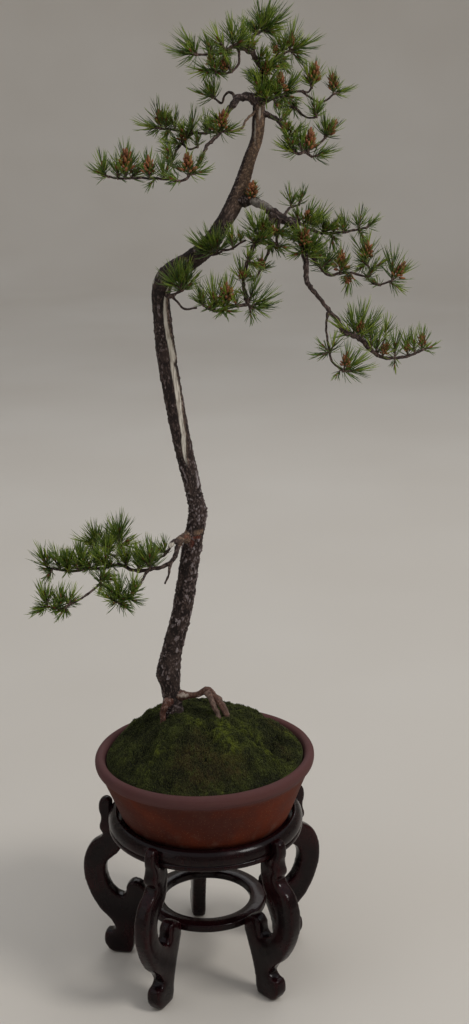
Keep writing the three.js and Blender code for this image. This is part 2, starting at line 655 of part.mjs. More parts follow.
// The mound rises from the rim to a crest beside the trunk, with low humps behind and a hollow at the left.
function moundHeight(x, y) {
  const reach = POT_RADIUS - POT_LIP;
  const fromCrest = new THREE.Vector2(x - MOUND_CREST.x, y - MOUND_CREST.y);
  const distance = fromCrest.length();
  if (distance < 1e-6) return MOUND_EDGE_Z + MOUND_CREST.rise;
  const heading = fromCrest.clone().divideScalar(distance);
  const along = MOUND_CREST.x * heading.x + MOUND_CREST.y * heading.y;
  const offset = MOUND_CREST.x ** 2 + MOUND_CREST.y ** 2 - reach ** 2;
  const toRim = -along + Math.sqrt(along ** 2 - offset);
  const share = Math.min(distance / toRim, 1);
  const bumps = MOUND_BUMPS.map((bump) => (
    bump.rise * Math.exp(-((x - bump.x) ** 2 + (y - bump.y) ** 2) / bump.spread ** 2)
  ));
  const dome = MOUND_CREST.rise * (1 - share ** 2) ** MOUND_ROUNDNESS;
  return bumps.reduce((height, bump) => height + bump, MOUND_EDGE_Z + dome);
}

// A round body with fixed [radius, height] points below, and a top that follows the mound less a depth.
function mounded(fixed, topRadii, depth) {
  const radii = [...fixed.map(([radius]) => radius), ...topRadii];
  const rows = radii.map((radius, row) => new THREE.Vector2(radius, row));
  const lathe = new THREE.LatheGeometry(rows, ROUND_SEGMENTS);
  lathe.rotateX(Math.PI / 2);
  const places = lathe.attributes.position;
  for (let index = 0; index < places.count; index += 1) {
    const row = Math.round(Math.abs(places.getZ(index)));
    const onTop = row >= fixed.length;
    places.setZ(index, onTop ? moundHeight(places.getX(index), places.getY(index)) - depth : fixed[row][1]);
  }
  const body = solid(lathe);
  if (body.volume() > 0) return body;
  lathe.index.array.reverse();
  return solid(lathe);
}

// The soil and the moss share these rings, and the soil leaves room over the screen.
const TOP_RADII = [104, 70, 36, 0];
const SOIL_EDGE = POT_INSIDE[3];

function soil(treeCut) {
  const wall = POT_INSIDE.slice(0, 4).map(([radius, z]) => [radius - GAP, z + GAP]);
  const { radius: recess, height } = SOIL_RECESS;
  const start = [[0, POT_FLOOR_Z + height], [recess, POT_FLOOR_Z + height], [recess, POT_FLOOR_Z + GAP]];
  return largest(mounded([...start, ...wall], TOP_RADII, MOSS_THICKNESS + GAP).subtract(treeCut));
}

function mossMound(treeCut) {
  const [radius, z] = SOIL_EDGE;
  const side = [[0, z - 2], [radius - 1, z - 2], [radius + 1.8, z + 8]];
  const below = [[0, POT_BASE_Z], [POT_RADIUS, POT_BASE_Z], [POT_RADIUS, z + 2 * GAP], [radius, z + 2 * GAP]];
  const whole = mounded(side, [radius + 2.8, 120, ...TOP_RADII], 0);
  return largest(whole.subtract(mounded(below, TOP_RADII, MOSS_THICKNESS)).subtract(treeCut));
}

// The sprays: each named set of shoots, as the point where a shoot grows, its heading and its length
function sprays() {
  const found = new Map();
  for (const { route, shoots = {} } of Object.values(TREE).flat()) {
    const path = smooth(route);
    for (const [name, places] of Object.entries(shoots)) {
      const grown = places.map(([place, right, front, length]) => {
        const start = path.getPoint(place / (route.length - 1));
        const heading = new THREE.Vector3(0, 0, 1);
        heading.applyAxisAngle(new THREE.Vector3(1, 0, 0), THREE.MathUtils.degToRad(front));
        heading.applyAxisAngle(new THREE.Vector3(0, 1, 0), THREE.MathUtils.degToRad(right));
        return { start, heading, length };
      });
      found.set(name, [...(found.get(name) ?? []), ...grown]);
    }
  }
  return found;
}

// One shoot's needles: a fan that widens from the twig, and pulls in again over its tips
function fan({ start, heading, length }, extra) {
  const radius = FAN_WIDTH * length + extra;
  const profile = [[0, FAN_SETBACK - extra], [radius, FAN_SHOULDER * length], [0, length + extra]];
  const points = profile.map(([r, height]) => new THREE.Vector2(r, height));
  const geometry = new THREE.LatheGeometry(points, FAN_SIDES);
  const turn = new THREE.Quaternion().setFromUnitVectors(new THREE.Vector3(0, 1, 0), heading);
  geometry.applyQuaternion(turn);
  geometry.translate(start.x, start.y, start.z);
  return solid(geometry);
}

// Fans that stand apart are linked by a short bar of needles between their middles.
function link(shoot, next, extra) {
  const route = [shoot, next].map(({ start, heading, length }) => {
    const middle = start.clone().addScaledVector(heading, length / 2);
    return [...middle, FAN_LINK_RADIUS];
  });
  return limb(route, FAN_LINK_SIDES, extra);
}

function spray(shoots, extra = 0) {
  const fans = shoots.map((shoot) => fan(shoot, extra));
  const links = fans.slice(1).flatMap((next, index) => {
    const shared = next.intersect(fans[index]).volume();
    return shared > FAN_OVERLAP ? [] : [link(shoots[index], shoots[index + 1], extra)];
  });
  return joined([...fans, ...links]);
}

// Assembly, from the floor up
legAzimuths().forEach((azimuth, index) => addPiece(`stand_leg_${index + 1}`, leg(azimuth), 'lacquer'));
addPiece('stand_lower_ring', lowerRing(), 'lacquer');
addPiece('stand_top_ring', topRing(), 'lacquer');
addPiece('stand_top_panel', topPanel(), 'lacquer');
addPiece('pot', pot(), 'terracotta');
addPiece('drain_screen', drainScreen(), 'mesh');
addPiece('screen_wire', screenWire(), 'wire');

const trunkCut = wood(TREE.trunk, GAP);
addPiece('soil', soil(trunkCut), 'soil');
addPiece('moss_mound', mossMound(trunkCut), 'moss');

// Each limb is cut back from the wood that it grows from, and each spray from the wood and its neighbours.
let grown = null;
for (const [name, twigs] of Object.entries(TREE)) {
  const body = wood(twigs);
  addPiece(name, grown ? largest(body.subtract(grown)) : body, 'bark');
  const clear = wood(twigs, GAP);
  grown = grown ? grown.add(clear) : clear;
}
for (const [name, shoots] of sprays()) {
  addPiece(`needles_${name}`, largest(spray(shoots).subtract(grown)), 'needles');
  grown = grown.add(spray(shoots, GAP));
}

export default bonsai;
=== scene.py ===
"""Looks of the jack pine bonsai: the tree, its moss, its unglazed pot and its carved stand.

Sizes are millimetres, measured from the upright axis that the pot and the stand share, until a
finished piece is put in the row's frame, which is in metres.
"""
import logging
import math
import random
from dataclasses import dataclass, field, replace
from enum import Enum
from itertools import chain, pairwise, product

import bmesh
import bpy
from bmesh.types import BMesh, BMLayerItem, BMVert
from bpy.types import ID, Material, Mesh, Node, NodeSocket, Object
from mathutils import Matrix, Vector, noise


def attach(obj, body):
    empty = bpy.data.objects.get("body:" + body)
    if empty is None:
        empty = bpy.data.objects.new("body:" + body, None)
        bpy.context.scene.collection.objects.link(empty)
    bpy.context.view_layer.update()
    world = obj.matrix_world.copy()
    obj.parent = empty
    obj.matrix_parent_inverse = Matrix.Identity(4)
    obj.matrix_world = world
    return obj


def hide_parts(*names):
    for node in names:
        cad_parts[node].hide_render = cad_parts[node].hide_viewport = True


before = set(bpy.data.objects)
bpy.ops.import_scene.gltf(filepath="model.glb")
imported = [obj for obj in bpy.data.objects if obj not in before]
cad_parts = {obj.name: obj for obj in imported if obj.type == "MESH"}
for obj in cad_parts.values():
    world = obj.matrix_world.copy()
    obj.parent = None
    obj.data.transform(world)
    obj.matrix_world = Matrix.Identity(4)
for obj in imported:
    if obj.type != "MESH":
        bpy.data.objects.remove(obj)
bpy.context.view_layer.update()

Triple = tuple[float, float, float]
Rows = tuple[tuple[float, ...], ...]
Outline = list[tuple[float, float]]

LOG = logging.getLogger("bonsai")
BODY = "root"
AXIS = Vector((-0.040, -0.010, 0.0))
TO_ROW = Matrix.Translation(AXIS) @ Matrix.Scale(0.001, 4)
UP = Vector((0.0, 0.0, 1.0))
GOLDEN_ANGLE = math.radians(137.5)
NOISE_SEED = 7


class Slot(Enum):
    """The record's material slots."""

    LACQUER = "lacquered_wood"
    TERRACOTTA = "terracotta"
    SOIL = "soil"
    MOSS = "moss"
    BARK = "bark"
    NEEDLES = "needles"
    SCREEN = "screen_plastic"
    WIRE = "wire"


@dataclass(frozen=True)
class Twig:
    """One stretch of wood and the shoots on it.

    Its route is points of [x, y, z, radius]. A shoot is (place, right, front, length), and then
    the length of its cluster of cones where it has one. Place counts the points along the route.
    Right is the shoot's lean from upright towards +X and front its lean towards -Y, in degrees.
    """

    route: list[tuple[float, ...]]
    shoots: dict[str, list[tuple[float, ...]]] = field(default_factory=dict)


TREE: dict[str, list[Twig]] = {
    "trunk": [
        Twig([(-38, 10, 292, 14), (-40, 12, 310, 19), (-43, 14, 340, 22), (-43, 14, 372, 17),
            (-43, 14, 392, 13.5), (-45, 14, 412, 14), (-47, 14, 435, 16.5), (-42, 13, 467, 14.5),
            (-31, 10, 510, 14), (-24, 6, 545, 14), (-16, 0, 600, 13.5), (-10, -3, 633, 13),
            (-5, -4, 666, 12.5), (-10, -2, 695, 11), (-18, 1, 732, 12), (-31, 5, 800, 12.5),
            (-42, 8, 875, 13), (-46, 9, 922, 12), (-47, 8, 950, 12.5), (-38, 6, 972, 13),
            (-10, 1, 990, 12.5), (14, -4, 1010, 12), (31, -6, 1035, 10.5), (46, -3, 1060, 11),
            (56, 1, 1085, 9.5), (66, 5, 1115, 8), (74, 7, 1136, 7.5), (77, 8, 1160, 8), (77, 8, 1184, 7.5)]),
        Twig([(76, 8, 1179, 7), (81, 13, 1191, 6), (85, 20, 1208, 5), (79, 19, 1225, 4), (70, 13, 1238, 3.4),
            (59, 3, 1243, 3.4), (49, -6, 1246, 2.8), (37, -16, 1241, 2)], {
            "apex_left": [(5.5, 10, -15, 34), (6.2, -10, 5, 36), (7, -35, 10, 30), (6.3, 60, 40, 24),
                (4.6, 20, 55, 26), (6.8, -120, 40, 22)],
            "apex_centre": [(1.7, -60, 40, 28), (2.3, -90, 20, 26), (2.1, 15, 25, 25, 14), (0.4, 5, 55, 28),
                (1, -30, 35, 30), (1.2, 40, 35, 30), (2.6, 60, 20, 28), (3.2, 20, 50, 24)]}),
        Twig([(70, 13, 1238, 2.2), (72, 13, 1250, 1.9), (69, 16, 1257, 1.8), (75, 22, 1260, 1.8),
            (82, 26, 1264, 1.6)], {
            "apex_top": [(4, -10, 0, 34), (4, 20, 0, 37), (4, 60, -10, 38), (3, 20, 40, 26),
                (4, 100, 20, 26), (3.5, -60, 10, 26)]}),
        Twig([(52, -3, 1244, 1.8), (53, -16, 1230, 1.5), (49, -22, 1221, 1.4), (39, -26, 1215, 1.4),
            (27, -26, 1215, 1.4), (20, -22, 1219, 1.3)], {
            "apex_loop": [(3.4, 0, 20, 25, 14), (5, -10, 15, 26, 12), (5, -95, 15, 27), (4.2, -20, 60, 24),
                (2.6, -30, 40, 24), (5, 120, 30, 20)]}),
        Twig([(40, -13, 1242, 1.8), (20, -22, 1237, 1.5), (3, -29, 1236, 1.4)], {
            "apex_left": [(0.9, -30, 20, 24), (0.4, 150, 40, 20)],
            "apex_far_left": [(2, -35, 5, 33), (2, -85, 10, 35)]}),
        Twig([(84, 19, 1216, 1.8), (92, 29, 1228, 1.6), (101, 35, 1234, 1.6), (117, 45, 1241, 1.4)], {
            "apex_right": [(2.2, 145, -10, 22), (2, -20, 25, 21, 12), (3, 10, -5, 36, 13), (3, 75, -10, 37),
                (0.6, 100, 30, 24), (1.9, 140, 20, 24), (3, 130, 20, 26), (2.6, -30, 20, 30)]}),
        Twig([(77, 6, 1174, 2), (69, 2, 1167, 1.7), (60, -14, 1159, 1.5), (54, -26, 1150, 1.4),
            (42, -32, 1148, 1.3)]),
        Twig([(-38, 13, 402, 10), (-28, 10, 402, 7), (-19, 7, 403, 4.8), (-9, 3, 406, 4.2), (0, 0, 411, 4.6),
            (7, -3, 414, 4.6), (13, -6, 409, 4.2), (20, -10, 400, 4), (28, -14, 387, 3.6),
            (36, -19, 370, 3.4), (43, -23, 350, 3)]),
        Twig([(5, -3, 412, 4), (10, -10, 404, 3.8), (17, -15, 386, 3.6), (20, -18, 371, 3.3),
            (22, -20, 349, 3)]),
        Twig([(9, -3, 411, 3.6), (22, -4, 400, 3), (30, -4, 383, 2.8), (38, -6, 369, 2.6),
            (46, -8, 350, 2.4)]),
        Twig([(-46, 8, 396, 9), (-53, -2, 391, 5), (-56, -6, 376, 4), (-56, -10, 353, 3.2)]),
        Twig([(-42, 14, 345, 12), (-76, -4, 325, 8), (-98, -20, 308, 4)]),
        Twig([(-40, 14, 340, 12), (-20, 56, 322, 8), (0, 88, 305, 4)]),
        Twig([(-40, 14, 335, 12), (8, -26, 318, 8), (46, -54, 300, 4)]),
        Twig([(-42, 14, 335, 12), (-50, -38, 315, 8), (-42, -80, 300, 4)])],
    "lower_left_branch": [
        Twig([(-15, -4, 634, 6.5), (-28, -22, 632, 4.6), (-32, -31, 623, 3.4), (-40, -42, 610, 3),
            (-56, -45, 604, 2.8), (-72, -45, 600, 2.6), (-89, -38, 598, 2.4), (-107, -26, 602, 2.3),
            (-128, -19, 596, 2.2), (-149, -19, 595, 2), (-170, -16, 591, 1.8), (-202, -10, 594, 1.5)], {
            "lower_left_inner": [(4.7, 0, 15, 43), (5.6, 0, -10, 37), (6.5, 0, 20, 38)],
            "lower_left_middle": [(7.9, 5, 30, 38), (8.5, 0, -25, 30), (8.9, 0, 50, 30), (7.5, 0, 60, 24)],
            "lower_left_end": [(9.4, -5, -10, 38), (10.2, 0, 30, 37), (10.5, -15, -20, 34), (11, -20, 5, 33),
                (10.8, -140, 40, 22), (10.2, 25, 70, 24), (9.6, -10, 45, 30)]}),
        Twig([(-28, -23, 633, 3.8), (-38, -38, 635, 2.8), (-42, -42, 630, 2.2)]),
        Twig([(-38, -37, 633, 2), (-44, -22, 619, 1.6), (-51, 0, 605, 1.5), (-64, 16, 594, 1.5),
            (-83, 35, 588, 1.4)], {
            "lower_left_inner": [(1.5, -45, 35, 26), (3, -10, -20, 27), (3.9, -30, -35, 24)]}),
        Twig([(-107, -26, 602, 1.8), (-114, 6, 602, 1.6), (-126, 38, 598, 1.5), (-141, 67, 599, 1.4)], {
            "lower_left_top": [(3, -15, -15, 34), (2.3, 5, 5, 38), (1.8, -5, 40, 36), (3, -70, 10, 32),
                (3, -130, 20, 26)]}),
        Twig([(-114, 6, 602, 1.6), (-110, 22, 607, 1.4), (-112, 35, 610, 1.3)], {
            "lower_left_top": [(2, 10, -10, 41), (1.9, 80, 20, 28)]}),
        Twig([(-71, -46, 599, 1.8), (-80, -77, 591, 1.6), (-91, -99, 584, 1.5), (-106, -112, 581, 1.4)], {
            "lower_left_front": [(2.3, 95, 30, 25), (1.9, 10, -10, 27), (2.8, -5, 10, 36), (3, -55, 25, 31),
                (2.4, -20, 70, 24), (3, 120, 30, 22)]}),
        Twig([(-128, -21, 595, 1.7), (-131, -54, 586, 1.6), (-146, -70, 578, 1.6), (-161, -80, 571, 1.5),
            (-181, -86, 565, 1.5), (-197, -90, 569, 1.4)], {
            "lower_left_middle": [(1, 5, 15, 29), (1, 110, 30, 24), (0.5, 100, 40, 24)],
            "lower_left_low": [(3.5, 25, -30, 25), (4, 5, -10, 30), (5, -5, 5, 36), (5, -115, 25, 23),
                (4.4, 10, 70, 24), (3.6, -140, 40, 22)]}),
        Twig([(-41, -42, 608, 2), (-43, -52, 596, 1.5), (-48, -61, 587, 1.3)])],
    "right_main_branch": [
        Twig([(53, -4, 1065, 7), (69, -14, 1064, 5.6), (82, -25, 1059, 5.4), (94, -32, 1051, 5.4),
            (106, -29, 1043, 6), (118, -19, 1036, 5.4), (127, -16, 1019, 4.4), (132, -22, 1001, 3.8),
            (133, -32, 982, 3.6), (135, -42, 966, 3.2), (144, -48, 955, 2.8), (154, -51, 943, 2.6),
            (160, -54, 934, 2.8), (171, -58, 923, 2.6), (177, -61, 909, 2.8), (188, -58, 905, 3.2),
            (201, -51, 896, 3), (214, -45, 882, 2.6), (234, -38, 872, 2.2), (262, -26, 872, 1.9),
            (281, -19, 878, 1.5)], {
            "hanging_root": [(0.8, 10, 20, 23, 19)],
            "right_mid": [(6.5, -30, 30, 29), (6.7, 0, 35, 34, 21), (5.8, -100, 50, 24), (6.8, 70, 40, 30),
                (6.8, -115, 30, 24), (7.3, 60, 20, 28)],
            "cascade_upper": [(15.1, -55, 10, 32), (15.3, -10, 0, 38), (15.6, 15, -10, 42, 14),
                (15.8, 45, -15, 39)],
            "cascade_middle": [(17, -5, 5, 37), (17.3, 15, -15, 30), (17.7, 25, 20, 24, 15)],
            "cascade_end": [(18.4, -175, 20, 17), (18.4, 0, -10, 34), (19, -5, -10, 33, 12),
                (19.5, -10, 10, 30), (20, 0, -10, 29, 14), (20, 75, -10, 21)]}),
        Twig([(159, -54, 932, 1.8), (156, -61, 918, 1.5), (158, -70, 895, 1.4), (163, -77, 875, 1.4),
            (176, -80, 864, 1.4)], {
            "thin_twig_end": [(2.4, -45, -15, 20), (2.4, -105, 10, 23), (2.5, 20, 10, 26),
                (3.8, -135, 20, 16), (4, 15, 0, 34, 16), (4, 60, -10, 35), (4, 90, 5, 34)]}),
        Twig([(114, -22, 1042, 2.6), (130, 3, 1034, 2.2), (152, 22, 1022, 2), (182, 38, 1020, 1.7),
            (216, 54, 1024, 1.4)], {
            "right_top": [(1.6, 45, -20, 35), (1.1, 30, -15, 31, 14), (0.8, -15, 35, 24)],
            "right_mid": [(2, -150, 25, 22), (2.2, 5, 35, 25), (2.7, 10, 25, 24, 12), (2.2, 60, 40, 26),
                (2.6, 175, 30, 24), (1.3, 40, 50, 26)],
            "right_upper_end": [(3.2, -10, -5, 26), (3.7, 10, -10, 28), (4, 55, -20, 22), (3.1, -10, 50, 22),
                (3.7, 150, 30, 20)]}),
        Twig([(129, -19, 1010, 2.4), (148, 6, 987, 2), (165, 19, 969, 1.9), (181, 29, 969, 1.9),
            (197, 35, 969, 1.7), (215, 38, 963, 1.6), (230, 45, 952, 1.5), (250, 48, 957, 1.4)], {
            "right_spray_inner": [(1.4, -45, 20, 19), (1.9, -5, -5, 36), (3, 0, 15, 35, 22),
                (3.9, -165, 15, 28, 13), (0.3, 50, 40, 26), (0.8, 60, 50, 24), (1.4, 50, 30, 30)],
            "right_spray_end": [(6.8, 125, -15, 27), (7, 50, -15, 34, 20), (7, 0, -5, 41), (5.1, 30, 40, 24),
                (6.2, -60, 30, 22)]}),
        Twig([(215, 38, 963, 1.5), (221, 48, 971, 1.4), (217, 58, 979, 1.4)], {
            "right_spray_end": [(1, 60, 0, 28), (2, 5, -5, 35, 20), (1.8, -20, -5, 37), (1.5, -50, 40, 26),
                (2, -130, 30, 22)]}),
        Twig([(106, -29, 1047, 1.8), (114, -10, 1055, 1.6), (127, 13, 1057, 1.4)], {
            "right_top": [(1.2, -10, 0, 25), (2, 20, -10, 22)]}),
        Twig([(221, -43, 879, 1.5), (231, -22, 888, 1.4), (234, -16, 893, 1.3)], {
            "cascade_middle": [(2, 10, -15, 27)]}),
        Twig([(100, -31, 1046, 3.4), (98, -32, 1028, 2.2), (97, -29, 1011, 1.6)], {
            "right_under": [(1, 120, 50, 18), (1.2, -50, 45, 26, 12), (2, 100, 25, 20), (1, 90, 20, 26),
                (1.8, -90, 20, 24)]})],
    "hanging_branch": [
        Twig([(94, -31, 1050, 4.4), (87, -33, 1037, 4.2), (79, -38, 1024, 3.6), (68, -50, 1012, 3),
            (60, -61, 995, 2.4), (55, -61, 970, 2.2), (58, -58, 952, 2.6), (59, -58, 944, 2.4),
            (38, -64, 943, 2), (20, -70, 938, 1.9), (6, -70, 945, 1.5)], {
            "hanging_root": [(2, 0, 25, 33, 13), (2.3, -25, 20, 38), (2.8, -35, 35, 24), (2.6, 40, 50, 26)],
            "hanging_upper": [(4, 0, 35, 22), (5, -15, 15, 31, 11), (3.9, 120, 30, 22)],
            "hanging_low": [(5.7, -75, 30, 15)],
            "hanging_left": [(8.2, 0, 10, 39, 22), (9, -5, 5, 40, 13), (10, -15, 10, 28), (9.9, -50, 25, 20),
                (9.5, 10, 70, 22), (8.2, -120, 50, 22), (8.6, 100, 30, 22), (7.6, -30, 60, 22)]}),
        Twig([(58, -58, 952, 2.2), (63, -54, 939, 1.8)], {
            "hanging_low": [(0.6, 20, 10, 35), (0.9, 70, -5, 36), (1, 90, 5, 31), (1, 175, 15, 18)]}),
        Twig([(87, -33, 1037, 3), (88, -19, 1006, 2), (77, -22, 981, 1.7), (69, -29, 968, 1.5)], {
            "hanging_right": [(2, 75, -15, 17), (2, 10, 25, 21, 13), (2.8, -50, 35, 18), (0.7, 130, 30, 22)],
        })],
    "bend_twig": [
        Twig([(-40, 2, 949, 3), (-34, -7, 948, 2.4), (-27, -14, 943, 1.6), (-18, -22, 934, 1.4),
            (-2, -29, 936, 1.3)]),
        Twig([(-34, -8, 948, 2), (-26, -16, 953, 1.8), (-19, -19, 957, 1.6)], {
            "bend_front": [(2, -55, 25, 35), (1.8, -10, 20, 39), (2, 15, 15, 35), (2, 50, -10, 27)]})],
    "side_twig": [
        Twig([(13, -4, 1004, 2.6), (20, -14, 1000, 1.9), (32, -31, 1006, 1.5), (43, -42, 1010, 1.4),
            (52, -45, 1017, 1.4), (59, -45, 1020, 1.3)], {
            "trunk_bend": [(1, -60, 15, 36), (1, -15, 20, 35, 12), (1.3, 5, 25, 35), (3, -5, 10, 28),
                (4.1, -15, 15, 17)]})],
    "upper_left_branch": [
        Twig([(79, 8, 1184, 6.4), (66, 2, 1186, 5.2), (54, -8, 1187, 4.8), (44, -16, 1178, 4.2),
            (34, -19, 1164, 3.4), (29, -19, 1147, 2.8), (22, -26, 1139, 2.4), (13, -38, 1131, 2.2),
            (7, -54, 1118, 1.8), (-4, -67, 1104, 1.7), (-17, -74, 1093, 1.6), (-34, -77, 1095, 1.5),
            (-55, -70, 1096, 1.5), (-75, -61, 1096, 1.5), (-94, -48, 1095, 1.4), (-111, -35, 1097, 1.4)], {
            "upper_left_inner": [(5, 90, 30, 28), (5, 15, 20, 26, 20), (4.4, -80, 40, 24),
                (5.3, -50, 40, 24)],
            "upper_left_front": [(8.5, 20, 30, 16), (9.3, 80, -5, 24), (9.5, 0, 10, 30, 20),
                (10.2, -70, 40, 24)],
            "upper_left_end": [(11.2, -10, -20, 27), (11.7, -140, 35, 18), (12, -5, -10, 31, 18),
                (13.2, 45, -15, 29), (13.5, 5, -10, 40, 24), (14, -5, 30, 29), (14.7, -65, 20, 24),
                (15, -10, -10, 29)]}),
        Twig([(29, -19, 1148, 1.9), (10, -6, 1145, 1.8), (-5, 6, 1144, 1.7), (-17, 10, 1133, 1.6),
            (-25, 3, 1123, 1.5), (-31, -6, 1107, 1.4)], {
            "upper_left_inner": [(0.9, 0, 0, 25), (2, 5, -10, 29), (0.6, -10, 60, 24)],
            "upper_left_far": [(3.1, -85, 10, 26), (3, 0, 20, 24, 12), (2.4, -40, 40, 24)],
            "upper_left_front": [(5, 0, 30, 26), (5, 110, 30, 22), (4.4, -40, 30, 24)]}),
        Twig([(-5, 6, 1144, 1.6), (-24, 22, 1148, 1.5), (-43, 35, 1150, 1.4)], {
            "upper_left_far": [(1.1, 5, -15, 25), (2, -10, -10, 32, 15), (2, -85, -10, 30),
                (0.5, 170, 40, 20), (1.7, 5, 30, 26), (1.4, -150, 40, 20)]}),
        Twig([(49, -11, 1185, 2), (42, -3, 1193, 1.7), (35, 6, 1188, 1.5), (32, 10, 1180, 1.4),
            (23, 13, 1186, 1.4)], {
            "upper_left_inner": [(3.9, -5, 0, 27), (4, -75, -5, 28)]}),
        Twig([(-17, 10, 1133, 1.4), (-9, 3, 1126, 1.3), (2, -6, 1129, 1.3)], {
            "upper_left_far": [(2, -5, 25, 20)]})],
    "upper_right_twigs": [
        Twig([(80, 8, 1182, 3), (91, 14, 1184, 2.4), (104, 28, 1188, 2), (120, 42, 1192, 1.7),
            (133, 48, 1193, 1.5), (141, 51, 1192, 1.4), (145, 54, 1197, 1.4)], {
            "apex_centre": [(1.1, -10, 40, 24), (2, 0, 10, 28, 20), (2.3, 40, -10, 31), (2.2, 105, 25, 24),
                (0.5, 20, 75, 24), (1.3, 150, 40, 24), (1.7, -20, 60, 26), (2.3, 170, 30, 22)],
            "upper_right_outer": [(6, -20, 10, 30), (6, 15, -10, 33, 22)]}),
        Twig([(133, 48, 1193, 1.5), (145, 58, 1184, 1.4), (159, 64, 1179, 1.4), (174, 70, 1189, 1.3)], {
            "upper_right_outer": [(3, -5, -10, 28, 18), (3, 80, -15, 26)]}),
        Twig([(104, 28, 1188, 1.8), (116, 22, 1183, 1.5), (125, 10, 1171, 1.4), (137, 0, 1162, 1.3),
            (147, -6, 1163, 1.3)], {
            "apex_centre": [(1, 155, 20, 22), (1.7, -120, 30, 22)],
            "right_middle": [(3.7, 30, -15, 21), (4, -15, 10, 26)]})],
    "right_lower_branch": [
        Twig([(77, 8, 1169, 4), (88, 5, 1166, 3.2), (101, -14, 1158, 2.7), (108, -29, 1144, 2.4),
            (116, -35, 1128, 2.1), (122, -35, 1121, 2), (130, -32, 1123, 2), (140, -26, 1117, 1.5)], {
            "right_lower": [(2, 40, 50, 24), (3.2, 60, 20, 24), (3, -5, 35, 23, 12), (4, -30, 35, 28),
                (5, -70, 15, 28), (5.7, -5, -5, 34), (6.5, 10, -15, 29, 22), (7, 80, -10, 30)]}),
        Twig([(130, -32, 1123, 1.6), (146, -13, 1129, 1.5), (158, 3, 1138, 1.4)], {
            "right_middle": [(2, 50, -20, 27, 18), (2, -5, -10, 29)]})],
}


class Cell(Enum):
    """What a pattern of cells measures the distance to."""

    MIDDLE = "F1"
    EDGE = "DISTANCE_TO_EDGE"


class Mixing(Enum):
    """How one colour goes over another."""

    COVER = "MIX"
    MULTIPLY = "MULTIPLY"


def clamp(value: float) -> float:
    """Keeps a number between 0 and 1."""
    return min(max(value, 0.0), 1.0)


def smoothstep(low: float, high: float, value: float) -> float:
    """Eases from 0, where the value is low, to 1, where it is high."""
    share = clamp((value - low) / (high - low))
    return share * share * (3 - 2 * share)


def along_table(table: Rows, key: float) -> list[float]:
    """Reads a short table of rows by its first column, with straight lines between the rows.

    Args:
        table: Rows whose first number rises.
        key: The place to read at.

    Returns:
        The other numbers of the row.
    """
    if key <= table[0][0]:
        return list(table[0][1:])
    for low, high in pairwise(table):
        if key <= high[0]:
            share = (key - low[0]) / (high[0] - low[0])
            return [a + (b - a) * share for a, b in zip(low[1:], high[1:])]
    return list(table[-1][1:])


def bell(off: float, width: float) -> float:
    """Falls off smoothly, from 1 where off is 0 to about a third where it is the width."""
    return math.exp(-((off / width) ** 2))


def mottle(place: Vector) -> float:
    """Cloudy noise at a place, from 0 to 1."""
    return 0.5 + 0.5 * noise.noise(place)


def swells(spots: Rows, x: float, y: float) -> float:
    """Adds up round swells of (x, y, rise, spread) at one place."""
    away = [(rise, (x - over) ** 2 + (y - back) ** 2, spread) for over, back, rise, spread in spots]
    return sum(rise * math.exp(-square / spread**2) for rise, square, spread in away)


@dataclass(frozen=True)
class Station:
    """One place along a route, with the axes across it."""

    centre: Vector
    side: Vector
    cross: Vector
    tangent: Vector
    radius: float
    along: float

    def matrix(self) -> Matrix:
        """Takes a unit ring to this place, at this place's radius."""
        columns = (self.side * self.radius, self.cross * self.radius, self.tangent, self.centre)
        return Matrix([[*(column[row] for column in columns)] for row in range(3)] + [[0, 0, 0, 1]])


class Route:
    """A smooth line through points of [x, y, z, radius]."""

    FIRST_SIDE = Vector((0.31, 0.94, 0.12))
    LOOK_AHEAD = 0.02
    THINNEST = 0.3

    def __init__(self, points: list[tuple[float, ...]]) -> None:
        """Keeps the points as four-part vectors."""
        self.points = [Vector(point) for point in points]

    def at(self, place: float) -> Vector:
        """Reads the line at a place that counts the points.

        Args:
            place: From 0 at the first point to the number of points less 1.

        Returns:
            The point and its radius as one four-part vector.
        """
        points = self.points
        index = min(int(place), len(points) - 2)
        share = place - index
        start, end = points[index], points[index + 1]
        before = points[index - 1] if index > 0 else start * 2 - end
        after = points[index + 2] if index + 2 < len(points) else end * 2 - start
        step = math.sqrt((end.xyz - start.xyz).length)
        step_before = math.sqrt((start.xyz - before.xyz).length)
        step_after = math.sqrt((after.xyz - end.xyz).length)
        leaving = (start - before) / step_before - (end - before) / (step_before + step)
        leaving = (leaving + (end - start) / step) * step
        arriving = (end - start) / step - (after - start) / (step + step_after)
        arriving = (arriving + (after - end) / step_after) * step
        square, cube = share * share, share**3
        return (
            start * (2 * cube - 3 * square + 1)
            + leaving * (cube - 2 * square + share)
            + end * (3 * square - 2 * cube)
            + arriving * (cube - square)
        )

    def stations(self, spacing: float) -> list[Station]:
        """Walks the line in even steps, and carries the axes across it along without a twist.

        Args:
            spacing: The step along the line.

        Returns:
            The places in order.
        """
        found = []
        side = self.FIRST_SIDE
        along = 0.0
        last = self.at(0).xyz
        final = len(self.points) - 1
        for index, (start, end) in enumerate(pairwise(self.points)):
            steps = max(1, math.ceil((end.xyz - start.xyz).length / spacing))
            for step in range(steps + (1 if index == final - 1 else 0)):
                place = index + step / steps
                spot = self.at(place)
                ahead = self.at(min(place + self.LOOK_AHEAD, float(final))).xyz
                behind = self.at(max(place - self.LOOK_AHEAD, 0.0)).xyz
                tangent = (ahead - behind).normalized()
                side = (side - tangent * side.dot(tangent)).normalized()
                along += (spot.xyz - last).length
                last = spot.xyz
                cross = tangent.cross(side)
                radius = max(spot.w, self.THINNEST)
                found.append(Station(spot.xyz, side, cross, tangent, radius, along))
        return found


